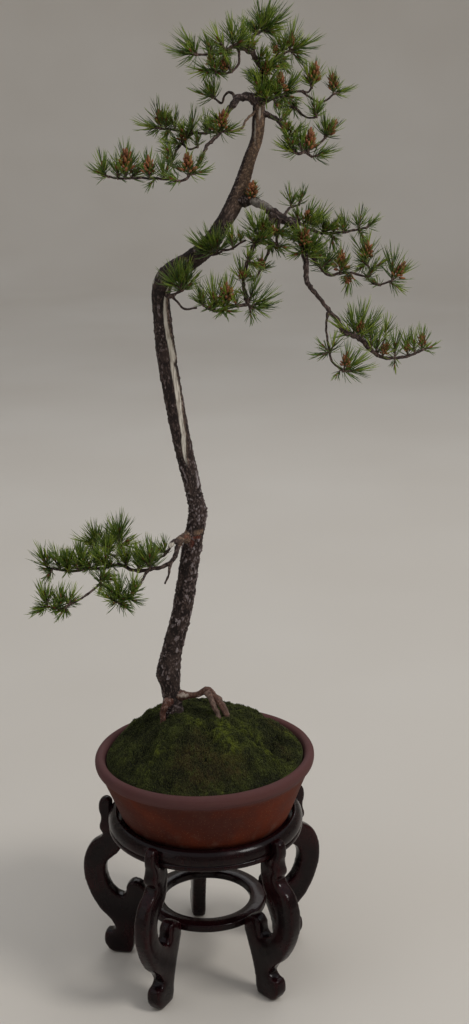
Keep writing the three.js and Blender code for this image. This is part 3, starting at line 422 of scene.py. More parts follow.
def sweep(shape: BMesh, stations: list[Station], sides: int) -> list[tuple[BMVert, Station]]:
    """Rolls a grid into a tube along a line of places, and closes both ends.

    Args:
        shape: The shape to add to.
        stations: The places, in order.
        sides: The number of sides of the tube.

    Returns:
        Each new vertex with its place.
    """
    rows = len(stations) - 1
    places = [station.matrix() for station in stations]
    made = bmesh.ops.create_grid(shape, x_segments=rows, y_segments=sides, size=1.0)["verts"]
    swept = []
    for vert in made:
        row = round((vert.co.x + 1) / 2 * rows)
        turn = (vert.co.y + 1) * math.pi
        vert.co = places[row] @ Vector((math.cos(turn), math.sin(turn), 0.0))
        swept.append((vert, stations[row]))
    bmesh.ops.remove_doubles(shape, verts=made, dist=1e-4)
    bmesh.ops.holes_fill(shape, edges=[edge for edge in shape.edges if edge.is_boundary], sides=0)
    return [(vert, station) for vert, station in swept if vert.is_valid]


def turned(profile: Outline, steps: int) -> BMesh:
    """Spins a closed or axis-to-axis profile of (radius, height) points into a solid.

    Args:
        profile: The points in order. A profile that starts off the axis is closed on itself.
        steps: The number of steps of the full turn.

    Returns:
        The spun shape, with its seam and poles closed and its faces outwards.
    """
    shape = bmesh.new()
    verts = [shape.verts.new((radius, 0.0, height)) for radius, height in profile]
    edges = [shape.edges.new(pair) for pair in pairwise(verts)]
    if profile[0][0] > 0:
        edges.append(shape.edges.new((verts[-1], verts[0])))
    bmesh.ops.spin(
        shape, geom=[*verts, *edges], axis=UP, cent=(0, 0, 0), angle=math.tau,
        steps=steps, use_merge=True, use_normal_flip=False, use_duplicate=False,
    )
    bmesh.ops.remove_doubles(shape, verts=shape.verts, dist=1e-3)
    bmesh.ops.recalc_face_normals(shape, faces=shape.faces)
    return shape


def curve_through(points: Outline, spacing: float) -> Outline:
    """Rounds a stretch of an outline.

    Args:
        points: The (radius, height) points to pass through.
        spacing: The longest step between the points of the result.

    Returns:
        The rounded stretch, without its first point.
    """
    stations = Route([(x, 0.0, z, 1.0) for x, z in points]).stations(spacing)
    return [(station.centre.x, station.centre.z) for station in stations[1:]]


def add_template(shape: BMesh, template: Mesh) -> list[BMVert]:
    """Adds a copy of a ready mesh to a shape.

    Args:
        shape: The shape to add to. It has the template's layers.
        template: The mesh to copy.

    Returns:
        The copy's vertices.
    """
    known = len(shape.verts)
    shape.from_mesh(template)
    shape.verts.ensure_lookup_table()
    return shape.verts[known:]


def as_template(shape: BMesh, name: str) -> Mesh:
    """Keeps a shape as a mesh, which other shapes can copy.

    Args:
        shape: The shape. It is freed.
        name: The mesh's name.

    Returns:
        The mesh.
    """
    mesh = bpy.data.meshes.new(name)
    shape.to_mesh(mesh)
    shape.free()
    return mesh


def add_layers(shape: BMesh, names: tuple[str, ...]) -> dict:
    """Gives a shape's vertices named numbers to carry, and returns the layers by name."""
    return {name: shape.verts.layers.float.new(name) for name in names}


def add_ball(shape: BMesh, place: Matrix, around: int, along: int) -> list:
    """Adds a ball of radius 1, stretched and placed by a matrix, and gives its vertices."""
    settings = {"u_segments": around, "v_segments": along, "radius": 1.0, "matrix": place}
    return bmesh.ops.create_uvsphere(shape, **settings)["verts"]


def random_turn(draw: random.Random) -> Matrix:
    """A turn round Z by any angle."""
    return Matrix.Rotation(draw.uniform(0, math.tau), 4, "Z")


def set_out(start: Vector, heading: Vector, scale: float, draw: random.Random) -> Matrix:
    """Takes a shape that grows along Z to its start, heading and scale, spun round itself at random."""
    turn = heading.to_track_quat("Z", "Y").to_matrix().to_4x4()
    return Matrix.Translation(start) @ turn @ random_turn(draw) @ Matrix.Scale(scale, 4)


def add_object(name: str, data: ID) -> Object:
    """Puts a mesh, a light or a camera in the scene.

    Args:
        name: The object's name.
        data: What the object shows.

    Returns:
        The object, at the origin.
    """
    made = bpy.data.objects.new(name, data)
    bpy.context.scene.collection.objects.link(made)
    return made


def finish_piece(
    name: str,
    shape: BMesh,
    materials: list[Material],
    replaced: list[str],
    crease: float | None = None,
) -> None:
    """Puts a finished shape in the row's frame, as a dressed piece on the row's one body.

    Args:
        name: The piece's name.
        shape: The shape in millimetres from the pot's axis. It is freed.
        materials: The piece's materials, in the order of its faces' material numbers.
        replaced: The CAD nodes that the piece stands for.
        crease: The angle in degrees past which an edge stays sharp, or None.
    """
    bmesh.ops.transform(shape, matrix=TO_ROW, verts=shape.verts)
    mesh = as_template(shape, name)
    for material in materials:
        mesh.materials.append(material)
    mesh.shade_smooth()
    if crease is not None:
        mesh.set_sharp_from_angle(angle=math.radians(crease))
    piece = add_object(name, mesh)
    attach(piece, BODY)
    if replaced:
        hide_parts(*replaced)
    LOG.info("%s: %d triangles", name, sum(len(polygon.vertices) - 2 for polygon in mesh.polygons))


def colour(code: str) -> tuple[float, float, float, float]:
    """Turns a screen colour such as "4d6b2c" into the linear colour that a socket takes."""
    parts = [int(code[at : at + 2], 16) / 255 for at in (0, 2, 4)]
    return (*(part / 12.92 if part <= 0.04045 else ((part + 0.055) / 1.055) ** 2.4 for part in parts), 1.0)


class Paint:
    """One material's node tree, written as short calls."""

    def __init__(self, name: str) -> None:
        """Starts a material with a plain Principled surface.

        Args:
            name: The material's name.
        """
        self.material = bpy.data.materials.new(name)
        self.material.use_nodes = True
        self.tree = self.material.node_tree
        self.surface = self.tree.nodes["Principled BSDF"]
        self.object_place = self.tree.nodes.new("ShaderNodeTexCoord").outputs["Object"]

    def node(self, kind: str, feeds: dict, **settings: object) -> Node:
        """Adds a node.

        Args:
            kind: The node's type, without its ShaderNode prefix.
            feeds: A value or another node's output for each named or numbered input.
            settings: The node's own settings.

        Returns:
            The node.
        """
        made = self.tree.nodes.new("ShaderNode" + kind)
        for key, value in settings.items():
            setattr(made, key, value)
        for key, value in feeds.items():
            self.feed(made.inputs[key], value)
        return made

    def feed(self, socket: NodeSocket, value: object) -> None:
        """Gives a socket its value, or links it to another node's output.

        Args:
            socket: The socket to feed.
            value: A number, a vector, a colour or an output.
        """
        if isinstance(value, NodeSocket):
            self.tree.links.new(value, socket)
        else:
            socket.default_value = value

    def placed(self, stretch: Triple) -> NodeSocket:
        """Gives object coordinates in millimetres from the pot's axis.

        Args:
            stretch: The scale of each axis.

        Returns:
            The coordinates.
        """
        scale = [1000 * share for share in stretch]
        shift = [-AXIS[axis] * scale[axis] for axis in range(3)]
        feeds = {"Vector": self.object_place, "Location": shift, "Scale": scale}
        return self.node("Mapping", feeds).outputs[0]

    def noise(self, size: float, detail: float = 3.0, stretch: Triple = (1, 1, 1)) -> NodeSocket:
        """Cloudy noise whose features are about size millimetres across, from 0 to 1."""
        feeds = {"Vector": self.placed(stretch), "Scale": 1 / size, "Detail": detail}
        return self.node("TexNoise", feeds).outputs[0]

    def cells(self, size: float, cell: Cell = Cell.MIDDLE, stretch: Triple = (1, 1, 1)) -> NodeSocket:
        """Distance to the middle or to the edge of cells about size millimetres across."""
        feeds = {"Vector": self.placed(stretch), "Scale": 1 / size}
        return self.node("TexVoronoi", feeds, feature=cell.value).outputs["Distance"]

    def attribute(self, name: str) -> NodeSocket:
        """A number that the mesh carries at each vertex."""
        return self.node("Attribute", {}, attribute_name=name).outputs["Fac"]

    def span(
        self, source: NodeSocket, low: float, high: float, first: float = 0.0, last: float = 1.0
    ) -> NodeSocket:
        """Takes low to first and high to last, in a straight line and no further."""
        feeds = {"Value": source, "From Min": low, "From Max": high, "To Min": first, "To Max": last}
        return self.node("MapRange", feeds).outputs[0]

    def add(self, first: object, second: object) -> NodeSocket:
        """Adds two numbers or outputs."""
        return self.node("Math", {0: first, 1: second}, operation="ADD").outputs[0]

    def times(self, first: object, second: object) -> NodeSocket:
        """Multiplies two numbers or outputs."""
        return self.node("Math", {0: first, 1: second}, operation="MULTIPLY").outputs[0]

    def blend(self, factor: object, first: object, second: object, way: Mixing = Mixing.COVER) -> NodeSocket:
        """Mixes two colours, each a screen colour's code or an output.

        Args:
            factor: The share of the second colour.
            first: The first colour.
            second: The second colour.
            way: The way of mixing.

        Returns:
            The mixed colour.
        """
        feeds = {0: factor}
        for at, value in ((6, first), (7, second)):
            feeds[at] = colour(value) if isinstance(value, str) else value
        made = self.node("Mix", feeds, data_type="RGBA", blend_type=way.value, clamp_factor=True)
        return made.outputs[2]

    def over(
        self, base: object, tint: object, source: NodeSocket, low: float, high: float, most: float = 1.0
    ) -> NodeSocket:
        """Covers a colour with a tint, not at all where the source is low and most where it is high."""
        return self.blend(self.span(source, low, high, 0.0, most), base, tint)

    def ramp(self, source: NodeSocket, stops: list[tuple[float, str]]) -> NodeSocket:
        """Colours a number.

        Args:
            source: The number.
            stops: A screen colour for each of some numbers, which rise.

        Returns:
            The colour.
        """
        made = self.node("ValToRGB", {"Fac": source})
        elements = made.color_ramp.elements
        while len(elements) < len(stops):
            elements.new(0.5)
        for element, (place, code) in zip(elements, stops):
            element.position = place
            element.color = colour(code)
        return made.outputs[0]

    def bump(self, height: NodeSocket, depth: float, under: object = None) -> NodeSocket:
        """Raises the surface by depth millimetres where height is 1.

        Args:
            height: The relief, from 0 to 1.
            depth: Its full height in millimetres.
            under: A normal to add this relief to, or None.

        Returns:
            The new normal.
        """
        feeds = {"Height": height, "Distance": depth / 1000, "Strength": 1.0}
        if under is not None:
            feeds["Normal"] = under
        return self.node("Bump", feeds).outputs[0]

    def finish(self, **feeds: object) -> Material:
        """Feeds the surface and ends the material.

        Args:
            feeds: What each of the surface's sockets gets. Spaces in their names are written as _.

        Returns:
            The material.
        """
        for key, value in feeds.items():
            value = colour(value) if isinstance(value, str) else value
            self.feed(self.surface.inputs[key.replace("_", " ")], value)
        return self.material


@dataclass(frozen=True)
class Lacquer:
    """Dark red-black lacquer over carved wood, glossy, and redder where the colour wears thin."""

    body: str = "0f0507"
    worn: str = "2c0c0f"
    pore: str = "0c0607"

    def material(self) -> Material:
        """Builds the lacquer.

        Returns:
            The material.
        """
        paint = Paint("lacquer")
        grain = paint.noise(2.6, 5.0, (1, 1, 0.1))
        cloud = paint.span(paint.noise(42.0), 0.48, 0.72, 0.0, 0.6)
        pointed = paint.node("NewGeometry", {}).outputs["Pointiness"]
        worn = paint.add(paint.span(pointed, 0.5, 0.56, 0.0, 0.7), cloud)
        base = paint.over(paint.blend(worn, self.body, self.worn), self.pore, grain, 0.52, 0.66, 0.6)
        rough = paint.span(paint.noise(16.0, 5.0), 0.3, 0.75, 0.16, 0.34)
        normal = paint.bump(grain, 0.05, paint.bump(paint.noise(26.0, 2.0), 0.9))
        return paint.finish(
            Base_Color=base, Roughness=rough, Normal=normal, Specular_IOR_Level=0.12,
            Coat_Weight=0.14, Coat_Roughness=0.05,
        )


@dataclass(frozen=True)
class Terracotta:
    """Unglazed red-brown clay, mauve-grey on its lip, with throwing lines, grog, a mineral bloom and painted
    light towards +X.
    """

    wall: str = "461a0f"
    warm: str = "662810"
    fine: str = "40221a"
    grog: str = "93694f"
    lip: str = "583a3a"
    bloom: str = "6e584c"
    # Half the span across X of the painted light that warms the clay towards +X.
    reach: float = 150.0
    lip_from: float = 304.0
    lip_to: float = 311.0
    bloom_from: float = 268.0
    bloom_to: float = 236.0

    def material(self) -> Material:
        """Builds the fired clay.

        Returns:
            The material.
        """
        paint = Paint("terracotta")
        place = paint.node("SeparateXYZ", {0: paint.placed((1, 1, 1))})
        height = place.outputs[2]
        cloud = paint.noise(55.0, 4.0)
        # Random warm clouds plus painted light: the clay turns warmer and lighter towards +X, where the key
        # light falls.
        warmth_and_painted_light = paint.add(cloud, paint.span(place.outputs[0], -self.reach, self.reach, -0.12, 0.12))
        base = paint.over(self.wall, self.warm, warmth_and_painted_light, 0.38, 0.66)
        base = paint.over(base, self.fine, paint.noise(2.0, 6.0), 0.35, 0.75, 0.45)
        base = paint.over(base, self.grog, paint.cells(3.4), 0.22, 0.08, 0.4)
        edge = paint.add(height, paint.span(paint.noise(8.0, 4.0), 0.0, 1.0, -3.0, 3.0))
        base = paint.over(base, self.lip, edge, self.lip_from, self.lip_to, 0.85)
        salts = paint.span(paint.noise(15.0, 7.0), 0.52, 0.7)
        low = paint.span(height, self.bloom_from, self.bloom_to, 0.05, 0.45)
        base = paint.blend(paint.times(salts, low), base, self.bloom)
        lines = paint.bump(paint.noise(2.6, 2.0, (0.02, 0.02, 1)), 0.4)
        normal = paint.bump(paint.noise(1.0, 5.0), 0.22, lines)
        rough = paint.span(cloud, 0.3, 0.7, 0.66, 0.9)
        return paint.finish(Base_Color=base, Roughness=rough, Normal=normal, Specular_IOR_Level=0.2)


@dataclass(frozen=True)
class Ground:
    """Loose dark bonsai soil, in grains of several browns."""

    dark: str = "241a14"
    pale: str = "5b4a3b"

    def material(self) -> Material:
        """Builds the soil.

        Returns:
            The material.
        """
        paint = Paint("soil")
        base = paint.over(self.dark, self.pale, paint.noise(4.5, 4.0), 0.4, 0.7)
        normal = paint.bump(paint.cells(3.2), 1.2)
        return paint.finish(Base_Color=base, Roughness=0.95, Normal=normal, Specular_IOR_Level=0.2)


@dataclass(frozen=True)
class MossGreen:
    """Living moss: olive cushions, yellow-green where new, brown where dry and grey-green at the back, with
    painted shade in its hollows.
    """

    deep: str = "191d0c"
    olive: str = "3f451b"
    fresh: str = "757f24"
    dry: str = "45321c"
    grey: str = "83896e"
    painted_hollow_shade: str = "1f1f1a"
    unshaded: str = "ffffff"
    sheen: str = "a8b060"

    def material(self) -> Material:
        """Builds the moss from what its mesh carries: tone, fresh, dry and grey. Low tone is painted shade.

        Returns:
            The material.
        """
        paint = Paint("moss")
        base = paint.over(self.deep, self.olive, paint.noise(16.0, 5.0), 0.38, 0.6)
        base = paint.over(base, self.fresh, paint.noise(5.0, 4.0), 0.55, 0.75, 0.5)
        for share, tint in (("dry", self.dry), ("fresh", self.fresh), ("grey", self.grey)):
            base = paint.blend(paint.attribute(share), base, tint)
        # Painted shade: where tone is low, the colour is multiplied down towards near-black.
        shade = paint.blend(paint.attribute("tone"), self.painted_hollow_shade, self.unshaded)
        base = paint.blend(1.0, base, shade, Mixing.MULTIPLY)
        normal = paint.bump(paint.noise(1.5, 6.0), 0.8)
        return paint.finish(
            Base_Color=base, Roughness=0.9, Normal=normal, Specular_IOR_Level=0.25,
            Sheen_Weight=0.3, Sheen_Roughness=0.5, Sheen_Tint=self.sheen,
        )


@dataclass(frozen=True)
class Bark:
    """Flaky pine bark, bare grey deadwood, reddish heartwood at a tear, darker twigs and a paler leader, pale
    only on its lit side as painted light.
    """

    crack: str = "211918"
    brown: str = "4c3e39"
    plate: str = "74696a"
    flake: str = "9a9294"
    young: str = "43322e"
    young_pale: str = "7c6960"
    pale: str = "866a50"
    pale_streak: str = "a58b74"
    bare: str = "d6d0c4"
    grain: str = "a0968a"
    heart: str = "763b29"

    def material(self) -> Material:
        """Builds the bark from what the wood's mesh carries: relief, bare, heart, young and pale. Pale is
        partly painted light.

        Returns:
            The material.
        """
        paint = Paint("bark")
        fine = paint.span(paint.noise(1.7, 6.0, (1, 1, 0.55)), 0.25, 0.75, -0.26, 0.26)
        relief = paint.add(paint.attribute("relief"), fine)
        stops = [(0.04, self.crack), (0.22, self.brown), (0.45, self.plate), (0.72, self.flake)]
        base = paint.over(paint.ramp(relief, stops), self.brown, paint.noise(17.0, 4.0), 0.5, 0.62, 0.4)
        ridges = paint.noise(2.2, 5.0, (1, 1, 0.28))
        smooth = paint.over(self.young, self.young_pale, ridges, 0.36, 0.66)
        smooth = paint.over(smooth, self.crack, relief, 0.42, 0.0, 0.85)
        rings = paint.noise(2.6, 5.0, (1, 1, 2.2))
        leader = paint.over(self.pale, self.pale_streak, rings, 0.4, 0.66)
        leader = paint.over(leader, self.brown, relief, 0.3, 0.0, 0.8)
        streaks = paint.noise(1.6, 5.0, (1, 1, 0.04))
        wood = paint.over(self.bare, self.grain, streaks, 0.44, 0.64)
        tear = paint.over(self.heart, self.crack, streaks, 0.4, 0.6, 0.6)
        for share, tint in (("young", smooth), ("pale", leader), ("bare", wood), ("heart", tear)):
            base = paint.blend(paint.attribute(share), base, tint)
        normal = paint.bump(paint.noise(0.9, 5.0, (1, 1, 0.5)), 0.4)
        normal = paint.bump(paint.cells(2.2, Cell.EDGE, (1, 1, 0.5)), 0.35, normal)
        return paint.finish(Base_Color=base, Roughness=0.85, Normal=normal, Specular_IOR_Level=0.3)


@dataclass(frozen=True)
class NeedleGreen:
    """Pine needles: brown at the sheath, dark green, lighter and yellower on some shoots and tips."""

    sheath: str = "80603a"
    deep: str = "1e3916"
    mid: str = "48661d"
    light: str = "8b9d31"
    tip: str = "978f3d"

    def material(self) -> Material:
        """Builds the needles from what each carries: along, from base to tip, and tone.

        Returns:
            The material.
        """
        paint = Paint("needles")
        along = paint.attribute("along")
        green = paint.ramp(paint.attribute("tone"), [(0.0, self.deep), (0.5, self.mid), (1.0, self.light)])
        green = paint.over(green, self.deep, along, 0.3, 0.0, 0.5)
        green = paint.over(green, self.tip, along, 0.84, 1.0, 0.8)
        green = paint.over(green, self.sheath, along, 0.1, 0.03)
        green = paint.over(green, self.light, paint.noise(7.0, 2.0), 0.35, 0.7, 0.35)
        normal = paint.bump(paint.noise(0.5, 2.0, (1, 1, 0.2)), 0.05)
        return paint.finish(Base_Color=green, Roughness=0.4, Specular_IOR_Level=0.45, Normal=normal)


@dataclass(frozen=True)
class ConeBrown:
    """Orange-brown pollen cones and resinous buds."""

    dark: str = "75442a"
    bright: str = "bd7c4e"
    shade: str = "452618"
    scale: float = 0.9

    def material(self) -> Material:
        """Builds the cones from along, from each one's base to its tip, and tone.

        Returns:
            The material.
        """
        paint = Paint("cones")
        base = paint.blend(paint.attribute("tone"), self.dark, self.bright)
        base = paint.over(base, self.shade, paint.cells(self.scale), 0.15, 0.5, 0.4)
        base = paint.over(base, self.shade, paint.attribute("along"), 0.5, 0.0, 0.75)
        normal = paint.bump(paint.cells(self.scale), 0.35)
        return paint.finish(Base_Color=base, Roughness=0.55, Normal=normal, Specular_IOR_Level=0.4)


@dataclass(frozen=True)
class ScreenPlastic:
    """Black drain screen, scuffed matte plastic."""

    black: str = "1c1c1c"
    scuff: str = "34322f"

    def material(self) -> Material:
        """Builds the plastic.

        Returns:
            The material.
        """
        paint = Paint("screen_plastic")
        base = paint.over(self.black, self.scuff, paint.noise(5.0, 4.0), 0.4, 0.7)
        return paint.finish(Base_Color=base, Roughness=0.62, Normal=paint.bump(paint.noise(0.7), 0.08))


@dataclass(frozen=True)
class WireMetal:
    """Dull aluminium training wire with fine drawing lines."""

    dull: str = "8b8b8d"
    drawn: str = "b4b4b6"

    def material(self) -> Material:
        """Builds the metal.

        Returns:
            The material.
        """
        paint = Paint("wire")
        streaks = paint.noise(0.6, 3.0, (0.1, 1, 1))
        base = paint.over(self.dull, self.drawn, streaks, 0.35, 0.65)
        return paint.finish(Base_Color=base, Metallic=1.0, Roughness=0.38, Normal=paint.bump(streaks, 0.03))


@dataclass
class Stand:
    """The carved stand: a moulded ring with a panel let into it, five scrolled legs and a lower ring."""

    ring_radius: float = 134.5
    ring_inner: float = 112.0
    ring_bottom: float = 212.0
    ring_top: float = 240.0
    panel_radius: float = 121.0
    panel_top: float = 230.0
    panel_thickness: float = 8.0
    eased: float = 0.8
    gap: float = 0.3
    leg_count: int = 5
    leg_azimuth: float = 24.0
    leg_thickness: float = 19.0
    leg_top: float = 243.0
    leg_heel: float = 112.0
    leg_toe: float = 134.0
    tenon: float = 117.0
    trace_step: float = 2.0
    closest: float = 0.4
    ear: tuple[float, float] = (196.0, 226.0)
    ear_taper: float = 0.3
    carving_step: float = 2.4
    carving_passes: int = 18
    carving_fill: float = 1.1
    lower_inner: float = 60.6
    lower_outer: float = 84.0
    lower_bottom: float = 92.0
    lower_top: float = 103.6
    lower_bulge: float = 3.2
    round_steps: int = 144
    ring_crease: float = 40.0
    leg_crease: float = 60.0

    def build(self, lacquer: Material) -> None:
        """Makes every piece of the stand.

        Args:
            lacquer: The stand's material.
        """
        rings = (
            ("stand_ring", self.top_ring(), "stand_top_ring"),
            ("stand_panel", self.panel(), "stand_top_panel"),
            ("stand_stretcher", self.lower_ring(), "stand_lower_ring"),
        )
        for name, shape, node in rings:
            finish_piece(name, shape, [lacquer], [node], self.ring_crease)
        board = self.board()
        self.carve(board)
        leg = as_template(board, "scroll_leg")
        for index in range(self.leg_count):
            shape = bmesh.new()
            azimuth = math.radians(self.leg_azimuth + index * 360 / self.leg_count)
            turn = Matrix.Rotation(azimuth, 4, "Z")
            bmesh.ops.transform(shape, matrix=turn, verts=add_template(shape, leg))
            number = index + 1
            replaced = [f"stand_leg_{number}"]
            finish_piece(f"scroll_leg_{number}", shape, [lacquer], replaced, self.leg_crease)

    def top_ring(self) -> BMesh:
        """Spins the moulded ring: a rounded shoulder, a bead below it, and a rabbet for the panel.

        Returns:
            The ring.
        """
        rabbet = self.panel_radius + self.gap
        ledge = self.panel_top - self.panel_thickness - self.gap
        inner, foot = (self.ring_inner, self.ring_bottom), (128.0, self.ring_bottom)
        moulding = [
            foot, (131.4, 212.4), (133.4, 214.2), (134.0, 216.6), (133.4, 219.0), (132.6, 220.0),
            (133.4, 221.4), (self.ring_radius, 225.0), (134.0, 230.0), (132.0, 234.6), (128.8, 238.2),
            (125.4, self.ring_top), (122.8, 239.8), (rabbet, 238.0),
        ]
        inside = [(rabbet, ledge), (self.ring_inner, ledge)]
        return turned([inner, foot, *curve_through(moulding, 0.9), *inside], self.round_steps)

    def panel(self) -> BMesh:
        """Spins the round panel that the pot stands on.

        Returns:
            The panel.
        """
        radius, top = self.panel_radius, self.panel_top
        bottom = top - self.panel_thickness
        edge = [(radius, bottom), (radius, top - self.eased), (radius - self.eased, top)]
        return turned([(0.0, bottom), *edge, (0.0, top)], self.round_steps)

    def lower_ring(self) -> BMesh:
        """Spins the lower ring, round at both edges.

        Returns:
            The ring.
        """
        bottom, top = self.lower_bottom, self.lower_top
        inner, outer = self.lower_inner, self.lower_outer
        middle, eased, bulge = (bottom + top) / 2, self.eased, self.lower_bulge
        high, low = top - 2 * eased, bottom + 2 * eased
        right = [(outer - bulge, bottom), (outer - eased, low), (outer, middle), (outer - eased, high)]
        left = [(inner + bulge, top), (inner + eased, high), (inner, middle), (inner + eased, low)]
        right_edge = curve_through([*right, (outer - bulge, top)], 1.0)
        left_edge = curve_through([*left, (inner + bulge, bottom)], 1.0)
        return turned([right[0], *right_edge, left[0], *left_edge], self.round_steps)

    def leg_outline(self) -> Outline:
        """Traces the leg from its sole up its outside, round its ear, and down its inside.

        Returns:
            The outline's points of (radius, height).
        """
        heel, toe = (self.leg_heel, 0.0), (self.leg_toe, 0.0)
        ankle, neck, knee = (131, 39), (146, 188), (121, 91)
        corner = (self.ring_radius + self.gap, 238)
        under = self.ring_bottom - self.gap
        tenon = (self.tenon, under)
        side = self.lower_outer + self.gap
        above, below = (side, self.lower_top), (side, self.lower_bottom)
        stretches = (
            [toe, (141, 3), (146, 9), (149, 16), (149, 23), (146, 32), (138, 33), ankle],
            [ankle, (139, 53), (155, 70), (170, 99), (176.5, 128), (174, 151), (165, 170), (151, 181), neck],
            [neck, (151, 197), (148.5, 212), (152, 226), (149, 239), (141, self.leg_top), corner],
            [corner, (corner[0], under), tenon],
            [
                tenon, (118, 186), (124, 164), (134, 153), (143, 144), (146, 131), (144, 117), (138, 103),
                (129, 94), knee,
            ],
            [knee, (115, 97), (114, 108), (106, 115.5), (95, 113), above],
            [above, below],
            [below, (90, 78), (100, 50), (106, 28), (108, 10), heel],
        )
        outline = [heel, toe]
        for stretch in stretches:
            traced = curve_through(stretch, self.trace_step) if len(stretch) > 3 else stretch
            outline.extend(point for point in traced if math.dist(point, heel) > self.closest)
        return [heel] + [end for start, end in pairwise(outline) if math.dist(start, end) > self.closest]

    def board(self) -> BMesh:
        """Cuts a leg from a board on the +X side, in faces small enough to carve.

        Returns:
            The leg, with square edges.
        """
        shape = bmesh.new()
        half = self.leg_thickness / 2
        outline = self.leg_outline()
        board = shape.faces.new([shape.verts.new((radius, half, z)) for radius, z in outline])
        grown = bmesh.ops.extrude_face_region(shape, geom=[board])["geom"]
        moved = [item for item in grown if isinstance(item, BMVert)]
        bmesh.ops.translate(shape, vec=(0, -self.leg_thickness, 0), verts=moved)
        bmesh.ops.recalc_face_normals(shape, faces=shape.faces)
        radii = [radius for radius, _ in outline]
        spans = (
            (Vector((1, 0, 0)), min(radii), max(radii)),
            (Vector((0, 1, 0)), -half, half),
            (UP, 0.0, self.leg_top),
        )
        for normal, low, high in spans:
            cuts = round((high - low) / self.carving_step)
            for cut in range(1, cuts):
                bmesh.ops.bisect_plane(
                    shape, geom=[*shape.verts, *shape.edges, *shape.faces], dist=1e-3,
                    plane_co=normal * (low + (high - low) * cut / cuts), plane_no=normal,
                )
        bmesh.ops.triangulate(shape, faces=[face for face in shape.faces if len(face.verts) > 4])
        return shape

    def carve(self, shape: BMesh) -> None:
        """Rounds a leg, fills it out again, thins its ear and brings its sole back to the ground.

        Args:
            shape: The leg, with square edges.
        """
        for _ in range(self.carving_passes):
            bmesh.ops.smooth_vert(
                shape, verts=shape.verts, factor=0.5, use_axis_x=True, use_axis_y=True, use_axis_z=True
            )
        shape.normal_update()
        for vert in shape.verts:
            vert.co += vert.normal * self.carving_fill
            vert.co.y *= 1 - self.ear_taper * smoothstep(*self.ear, vert.co.z)
        sole = min(vert.co.z for vert in shape.verts)
        for vert in shape.verts:
            vert.co.z = (vert.co.z - sole) * self.leg_top / (self.leg_top - sole)


@dataclass
class Pot:
    """The round pot: a rounded lip, a flared wall, and a foot ring cut by three low arches."""

    radius: float = 150.0
    base: float = 230.3
    rim: float = 322.0
    rim_rise: float = 3.7
    rim_tilt: tuple[float, float] = (3.1, -1.2)
    wobble: float = 0.6
    wobble_size: float = 45.0
    level_height: float = 6.0
    foot_height: float = 9.0
    foot_inner: float = 91.0
    foot_outer: float = 114.0
    floor_top: float = 246.3
    drain_radius: float = 12.0
    arches: int = 3
    arch_span: float = 94.0
    arch_height: float = 5.5
    arch_reach: float = 7.0
    round_steps: int = 144
    crease: float = 48.0

    def build(self, clay: Material) -> None:
        """Spins the pot, lifts its foot into arches and makes it a little uneven, as thrown clay is.

        Args:
            clay: The pot's material.
        """
        shape = turned(self.profile(), self.round_steps)
        for vert in shape.verts:
            self.cut_arch(vert)
            share = smoothstep(self.base + self.level_height, self.rim, vert.co.z)
            outward = Vector((vert.co.x, vert.co.y, 0.0)).normalized()
            wobble = self.wobble * share * noise.noise(vert.co / self.wobble_size)
            vert.co += outward * wobble + UP * (share * self.lift(*vert.co.xy))
        finish_piece("clay_pot", shape, [clay], ["pot"], self.crease)

    def lift(self, x: float, y: float) -> float:
        """How far the rim stands above the level at one place, as the thrown clay is a little uneven."""
        return self.rim_rise + self.rim_tilt[0] * x / self.radius + self.rim_tilt[1] * y / self.radius

    def profile(self) -> Outline:
        """Traces the pot's section from the drain hole, round the outside and back down the inside.

        Returns:
            The section's points of (radius, height).
        """
        base, foot = self.base, self.base + self.foot_height
        heel, neck, brim = (108.6, 230.9), (143.6, 303), (136, 313)
        wall = curve_through([heel, (113, 234), (117, 240), (121, 249), (130.5, 272), neck], 2.0)
        rounded = [
            neck, (145.2, 304.6), (147.8, 307), (149.4, 310), (self.radius, 314), (149.2, 318.6),
            (146.4, 321.4), (142.6, self.rim), (139, 320.6), (136.9, 317.4), brim,
        ]
        lip = curve_through(rounded, 0.8)
        inside = curve_through([brim, (131.5, 298), (121, 274), (109, 249.5), (103, self.floor_top)], 3.0)
        under = [(90.0, foot), (92.4, foot - 0.8), (95.0, base + 1.2), (96.4, base), (107.4, base), heel]
        floor = [(self.drain_radius, self.floor_top), (self.drain_radius, foot), (50.0, foot)]
        return [*floor, *under, *wall, *lip, *inside, (60.0, self.floor_top)]

    def cut_arch(self, vert: BMVert) -> None:
        """Lifts a vertex of the foot's sole where an arch crosses it.

        Args:
            vert: Any vertex of the pot.
        """
        radius = math.hypot(vert.co.x, vert.co.y)
        if not self.foot_inner <= radius <= self.foot_outer or vert.co.z > self.base + self.arch_reach:
            return
        azimuth = math.atan2(vert.co.x, -vert.co.y)
        step = math.tau / self.arches
        off = (azimuth + step / 2) % step - step / 2
        across = abs(math.sin(off) * radius) / (self.arch_span / 2)
        if across < 1:
            roof = self.base + self.arch_height * (1 - across**4) ** 0.5
            vert.co.z = max(vert.co.z, min(roof, vert.co.z + roof - self.base))


